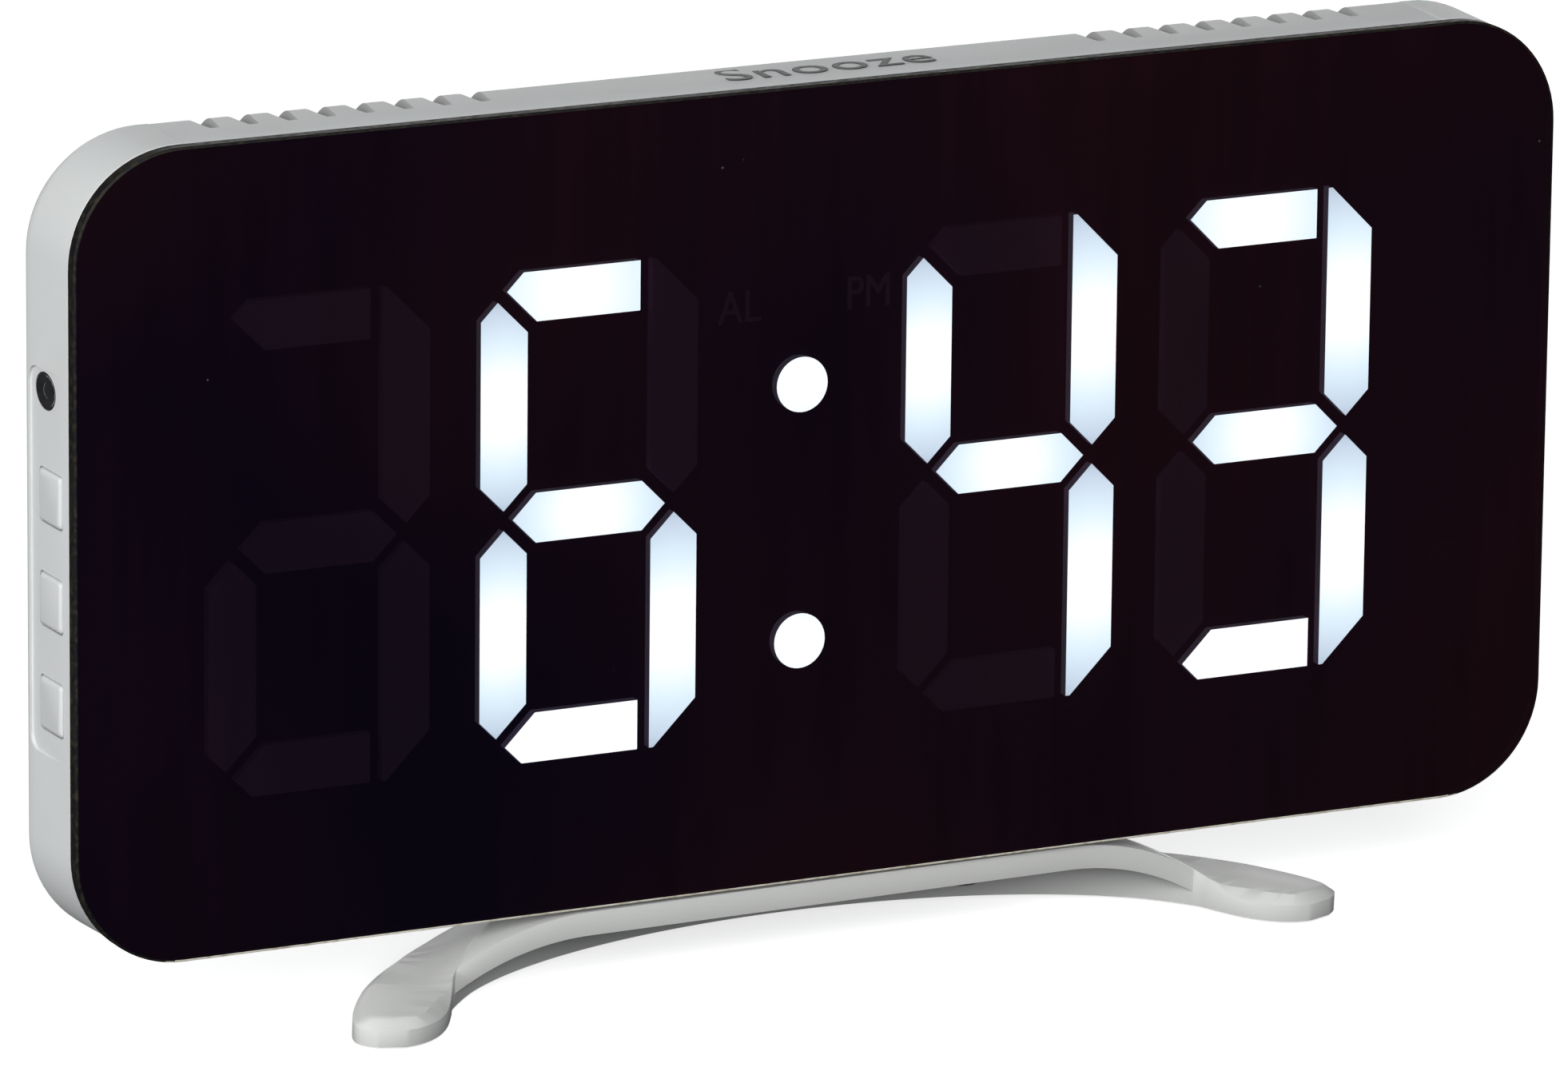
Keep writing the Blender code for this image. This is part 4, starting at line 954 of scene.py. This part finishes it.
def build_rear():
    low, high = measure("rear_cover")
    door_low, door_high = measure("battery_door")
    back, plate_back = high.y, CASE_BACK - COVER_SET
    cell = middle("coin_cell")
    half = DOOR_HALF + HAIR
    inlet_low, inlet_high = measure("power_inlet")
    screws = [middle(f"case_screw_{n}") for n in range(1, 5)]
    floor_y = CASE_BACK - SCREW_SINK

    def plate(bm):
        loft(bm, [[(x, y, z) for x, z in rounded(
            (low.x + inset, high.x - inset), (low.z + inset, high.z - inset),
            COVER_ROUND - inset, CORNER_STEPS)]
            for y, inset in ((low.y, 0), (plate_back - COVER_EDGE, 0), (plate_back, COVER_EDGE))])

    def hump_outline(inset, radius, steps):
        return rounded((HUMP_X[0] + inset, HUMP_X[1] - inset),
                       (HUMP_Z[0] + inset, HUMP_Z[1] - inset), radius, steps)

    def hump(bm):
        loft(bm, [[(x, y, z) for x, z in hump_outline(inset, HUMP_ROUND - inset, 10)]
                  for y, inset in rounding(plate_back - 0.5, back, HUMP_EDGE, 6)])

    def inside(bm):
        slab(bm, hump_outline(HUMP_WALL, HUMP_INNER, 5), low.y - PAST, back - HUMP_SKIN)

    def door_way(bm):
        block(bm, (cell.x - half, HUMP_X[1] + 2), (door_low.y - HAIR, back + PAST),
              (cell.z - half, cell.z + half))

    def rail_way(bm):
        block(bm, (cell.x - half, HUMP_X[1] + 2), (door_low.y - HAIR, door_low.y + RAIL_SLOT),
              (door_low.z - HAIR, door_high.z + HAIR))

    def bay(bm):
        block(bm, (cell.x - BAY_HALF, cell.x + BAY_HALF), (BAY_FRONT, back + PAST),
              (cell.z - BAY_HALF, cell.z + BAY_HALF))

    def socket_room(bm):
        block(bm, (inlet_low.x - SOCKET_CLEAR, SIDE), (low.y - PAST, inlet_high.y + SOCKET_CLEAR),
              (inlet_low.z - SOCKET_CLEAR, inlet_high.z + SOCKET_CLEAR))

    def holes(bm):
        for i in range(SOUND_SLOTS):
            x = SOUND_FIRST + SOUND_PITCH * i
            slab(bm, rounded((x - SOUND_HALF, x + SOUND_HALF), SOUND_Z, SOUND_HALF - SLIT, 6),
                 back - 3, back + PAST)
        for s in screws:
            drum(bm, "y", (s.x, s.z), ((low.y - PAST, SCREW_BORE), (floor_y, SCREW_BORE),
                                       (floor_y, SCREW_SEAT), (CASE_BACK + PAST, SCREW_SEAT)), 40)
    shell = Draft(plate).join(hump)
    for shape in (inside, door_way, rail_way, bay, socket_room, holes):
        shell.cut(shape)
    piece("rear_shell", shell.soften(), "white_plastic", ["rear_cover"], smooth=20)

    for number, s in enumerate(screws, 1):
        def screw(bm):
            profile = [SCREW_TIP, (SCREW_TIP[0] + 0.5, SCREW_THREAD),
                       (floor_y + 0.2, SCREW_THREAD), (floor_y + 0.2, SCREW_HEAD)]
            profile += [(floor_y + 0.75 + HEAD_EDGE * sin(a),
                         SCREW_HEAD - HEAD_EDGE + HEAD_EDGE * cos(a))
                        for a in (radians(d) for d in (0, 30, 60, 90))]
            drum(bm, "y", (s.x, s.z), profile, 32)

        first = Draft(screw)
        for wide, tall in ((CROSS_LONG, CROSS_THIN), (CROSS_THIN, CROSS_LONG)):
            first.cut(lambda bm: block(bm, (s.x - wide, s.x + wide),
                                       (floor_y + CROSS_DEPTH, CASE_BACK + PAST),
                                       (s.z - tall, s.z + tall)))
        piece(f"rear_screw_{number}", first, "plated_steel", [f"case_screw_{number}"])

    def door(bm):
        slab(bm, rounded((door_low.x, door_high.x), (cell.z - DOOR_HALF, cell.z + DOOR_HALF),
                         DOOR_ROUND), door_low.y, door_high.y)

    def rails(bm):
        block(bm, (door_low.x, door_high.x), (door_low.y, door_low.y + RAIL_THICK),
              (door_low.z, door_high.z))

    def ribs(bm):
        for i in range(RIBS):
            x = cell.x - RIB_FIRST + RIB_PITCH * i
            slab(bm, rounded((x, x + RIB_WIDE), (cell.z - RIB_HALF, cell.z + RIB_HALF),
                             RIB_WIDE / 2 - SLIT, 4), door_high.y - RIB_DEEP, door_high.y + PAST)
    piece("battery_lid_panel", Draft(door).join(rails).cut(ribs).soften(), "white_plastic",
          ["battery_door"], "battery_lid", smooth=20)


def build_socket():
    low, high = measure("power_inlet")
    cy, cz = (low.y + high.y) / 2, (low.z + high.z) / 2

    def body(bm):
        stations = [(low.x, 0.0)] + [(high.x - depth, inset) for depth, inset in SOCKET_FRONT]
        loft(bm, [[(x, y, z) for y, z in rounded(
            (low.y + inset, high.y - inset), (low.z + inset, high.z - inset), SOCKET_ROUND)]
            for x, inset in stations])

    def bore(bm):
        profile = [(low.x + SOCKET_FLOOR, SOCKET_BORE[0][1])]
        profile += [(high.x + past, radius) for past, radius in SOCKET_BORE]
        drum(bm, "x", (cy, cz), profile, 48)
    piece("power_socket", Draft(body).cut(bore).soften(0.08), "black_plastic",
          ["power_inlet"])

    pin_low, pin_high = measure("power_inlet_pin")

    def pin(bm):
        profile = [(pin_low.x, PIN_RADIUS)]
        profile += [(pin_high.x - 0.9 + 0.9 * sin(a), 0.95 * cos(a) + 0.05)
                    for a in (radians(d) for d in (0, 20, 40, 60, 80, 90))]
        drum(bm, "x", (cy, cz), profile, 24)
    piece("socket_pin", pin, "contact_brass", ["power_inlet_pin"])


# ---- stand

def top_height(x, crown=TOP_Z, radius=SHOULDER_R):
    """Height of the arch over x: level in the middle, a quarter round at each shoulder."""
    over = max(0.0, abs(x) - SHOULDER_X)
    return crown - radius + sqrt(max(radius ** 2 - over ** 2, 0.0))


def inner_y(x):
    return INNER_APEX - INNER_B + INNER_B * sqrt(max(1 - (x / INNER_A) ** 2, 0.0))


def outer_y(x):
    return OUTER_APEX - OUTER_R + sqrt(OUTER_R ** 2 - x ** 2)


def between(points, parts):
    """Smooth curve through points of any dimension, with that many parts to each span."""
    made = []
    for i in range(len(points) - 1):
        before = points[max(i - 1, 0)]
        after = points[min(i + 2, len(points) - 1)]
        for k in range(parts):
            t = k / parts
            made.append([0.5 * (2 * b + (c - a) * t + (2 * a - 5 * b + 4 * c - d) * t * t
                                + (3 * b - a - 3 * c + d) * t ** 3)
                         for a, b, c, d in zip(before, points[i], points[i + 1], after)])
    return made + [list(points[-1])]


def stand_stations():
    """Inner and outer plan points from the left toe to the right one."""
    half = []
    for i in range(CRESCENT_STEPS + 1):
        share = i / CRESCENT_STEPS
        xi, xo = INNER_END * share, OUTER_END * share
        half.append((xi, inner_y(xi), xo, outer_y(xo)))
    half = between(half + list(TOE), 3)
    return [(-a, b, -c, d) for a, b, c, d in reversed(half[1:])] + half


def crescent_loop(xi, yi, xo, yo):
    """Cross-section of the crescent from its inner point to its outer one."""
    blend = smooth_step((abs(xi) - TOE_START) / TOE_BLEND)
    ridge = max(top_height(xi) - tan(lean) * max(yi, 0) + RIDGE_LIFT, PAD_Z)
    dx, dy = xi - xo, yi - yo
    long = hypot(dx, dy)
    share = min(SLOPE_WIDE / long, MOST_SHARE)
    edge = RIM_LOW + RIM_RISE * blend
    slope = edge + (ridge - edge) * share * SLOPE_STEEP
    shelf = slope + (PAD_Z - slope) * blend
    sx, sy = xo + dx * share, yo + dy * share
    mid_z = (ridge + shelf) / 2 * (1 - blend) + PAD_Z * blend + CROWN_LIFT * (1 - blend)
    chamfer = PAD_BEVEL * smooth_step((abs(xi) - PAD_START) / PAD_BLEND)
    end_x, end_y = (TOE[-1][0] + TOE[-1][2]) / 2, (TOE[-1][1] + TOE[-1][3]) / 2
    away = hypot((xi + xo) / 2 - end_x * copysign(1, xi), (yi + yo) / 2 - end_y)
    drop = max(0.0, 1 - away / PAD_BEVEL) * TIP_DROP
    part = min((INNER_SOFT + chamfer) / long, MOST_SHARE)
    ix, iy = xi - dx * part, yi - dy * part
    return [(xi, yi, BASE_Z), (xi, yi, ridge - 0.02 - chamfer * CHAMFER_FALL),
            (ix, iy, ridge - 0.01 - drop), ((ix + sx) / 2, (iy + sy) / 2, mid_z - drop),
            (sx, sy, shelf - drop), (xo, yo, edge), (xo, yo, BASE_Z)]


def build_stand():
    def crescent(bm):
        loft(bm, [crescent_loop(*station) for station in stand_stations()])

    def deck(bm):
        loops = []
        for i in range(DECK_STEPS + 1):
            x = -DECK_HALF + 2 * DECK_HALF * i / DECK_STEPS
            top = top_height(x)
            low = max(top_height(x, TOP_Z - DECK_THICK, ARCH_R), BASE_Z)
            loops.append([(x, 0, low), (x, 0, top), (x, DECK_FAR, top - tan(lean) * DECK_FAR),
                          (x, DECK_FAR, low - tan(lean) * DECK_FAR)])
        loft(bm, loops)

    def plan(bm):
        xs = [-PLAN_HALF + 2 * PLAN_HALF * i / PLAN_STEPS for i in range(PLAN_STEPS + 1)]
        outline = [(x, inner_y(x) + PLAN_LAP) for x in xs]
        outline += [(PLAN_HALF, -PAST), (-PLAN_HALF, -PAST)]
        floor_slab(bm, outline, BASE_Z - PAST, TOP_Z + 2)

    def bores(bm):
        start, radius = STAND_BORE
        for side in ("left", "right"):
            s = middle(f"stand_screw_{side}", GROUND)
            drum(bm, "z", (s.x, s.y), ((start, radius), (TOP_Z + PAST, radius)), 32)

    feet = [measure(f"foot_pad_{side}", STRAIGHT) for side in GRIPS]

    def sockets(bm):
        for low, high in feet:
            radius = min(high.x - low.x, high.y - low.y) / 2 - 0.2
            floor_slab(bm, rounded((low.x - HAIR, high.x + HAIR), (low.y - HAIR, high.y + HAIR),
                                   radius, 8), BASE_Z - PAST, BASE_Z + 0.8)
    shelf = Draft(deck).change("INTERSECT", plan).mesh
    draft = Draft(crescent).join(lambda bm: bm.from_mesh(shelf)).cut(bores).cut(sockets)
    piece("stand_shell", draft.soften(0.15, 40), "stand_plastic", ["stand"], place=GROUND)

    for side, (low, high) in zip(GRIPS, feet):
        def pad(bm):
            radius = min(high.x - low.x, high.y - low.y) / 2 - 0.3
            loft(bm, [[(x, y, z) for x, y in rounded(
                (low.x + inset, high.x - inset), (low.y + inset, high.y - inset), radius, 8)]
                for z, inset in ((low.z, 0.15), (low.z + 0.15, 0.0), (high.z, 0.0))])
        piece(f"grip_pad_{side}", pad, "foot_rubber", [f"foot_pad_{side}"], place=GROUND)


# ---- inner pieces

def dress_inner_pieces():
    """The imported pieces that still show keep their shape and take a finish."""
    slots = {row["node"]: row["material_slot"] for row in frame["record"]["subparts"]}
    for name, node in frame["nodes"].items():
        if node.hide_render:
            continue
        for slot in node.material_slots:
            slot.material = FINISH[slots[name]]


# ---- studio

def softbox(name, spot, aim, size, power):
    """Square-cornered lamp that faces aim."""
    lamp = bpy.data.lights.new(name, "AREA")
    lamp.shape = "RECTANGLE"
    lamp.size, lamp.size_y = size
    lamp.energy = power
    made = placed(name, lamp)
    made.location = spot
    made.rotation_euler = (Vector(aim) - Vector(spot)).to_track_quat("-Z", "Y").to_euler()


def build_studio():
    floor_paint = Paint("pale_floor", (0.86, 0.86, 0.86), 0.9, Specular_IOR_Level=0.1,
                        Emission_Strength=FLOOR_GLOW)
    floor_paint.feed("Emission Color", (1.0, 1.0, 1.0, 1.0))
    bm = bmesh.new()
    bmesh.ops.create_grid(bm, x_segments=4, y_segments=4, size=FLOOR_HALF)
    mesh = bpy.data.meshes.new("floor")
    bm.to_mesh(mesh)
    bm.free()
    mesh.materials.append(floor_paint.material)
    floor = placed("floor", mesh)
    floor.visible_glossy = False
    floor.visible_diffuse = False

    centre = (cad_low + cad_high) / 2
    for name, (spot, size, power) in SOFTBOXES.items():
        softbox(name, spot, centre, size, power)

    world = bpy.data.worlds.new("studio_air")
    world.use_nodes = True
    air = world.node_tree.nodes["Background"].inputs
    air["Color"].default_value = (*AIR_COLOUR, 1.0)
    air["Strength"].default_value = AIR_STRENGTH
    bpy.context.scene.world = world
    bpy.context.scene.view_settings.view_transform = "Standard"


def build_camera():
    lens = bpy.data.cameras.new("camera")
    lens.lens = CAMERA_LENS
    lens.sensor_width = CAMERA_FILM
    lens.clip_start, lens.clip_end = CAMERA_CLIP
    camera = placed("camera", lens)
    camera.location = CAMERA_SPOT
    camera.rotation_euler = [radians(angle) for angle in CAMERA_TURN]
    bpy.context.scene.camera = camera


build_glass()
build_border()
build_display()
build_case()
build_keys()
build_sensor()
build_snooze()
build_rear()
build_socket()
build_stand()
dress_inner_pieces()
build_studio()
build_camera()
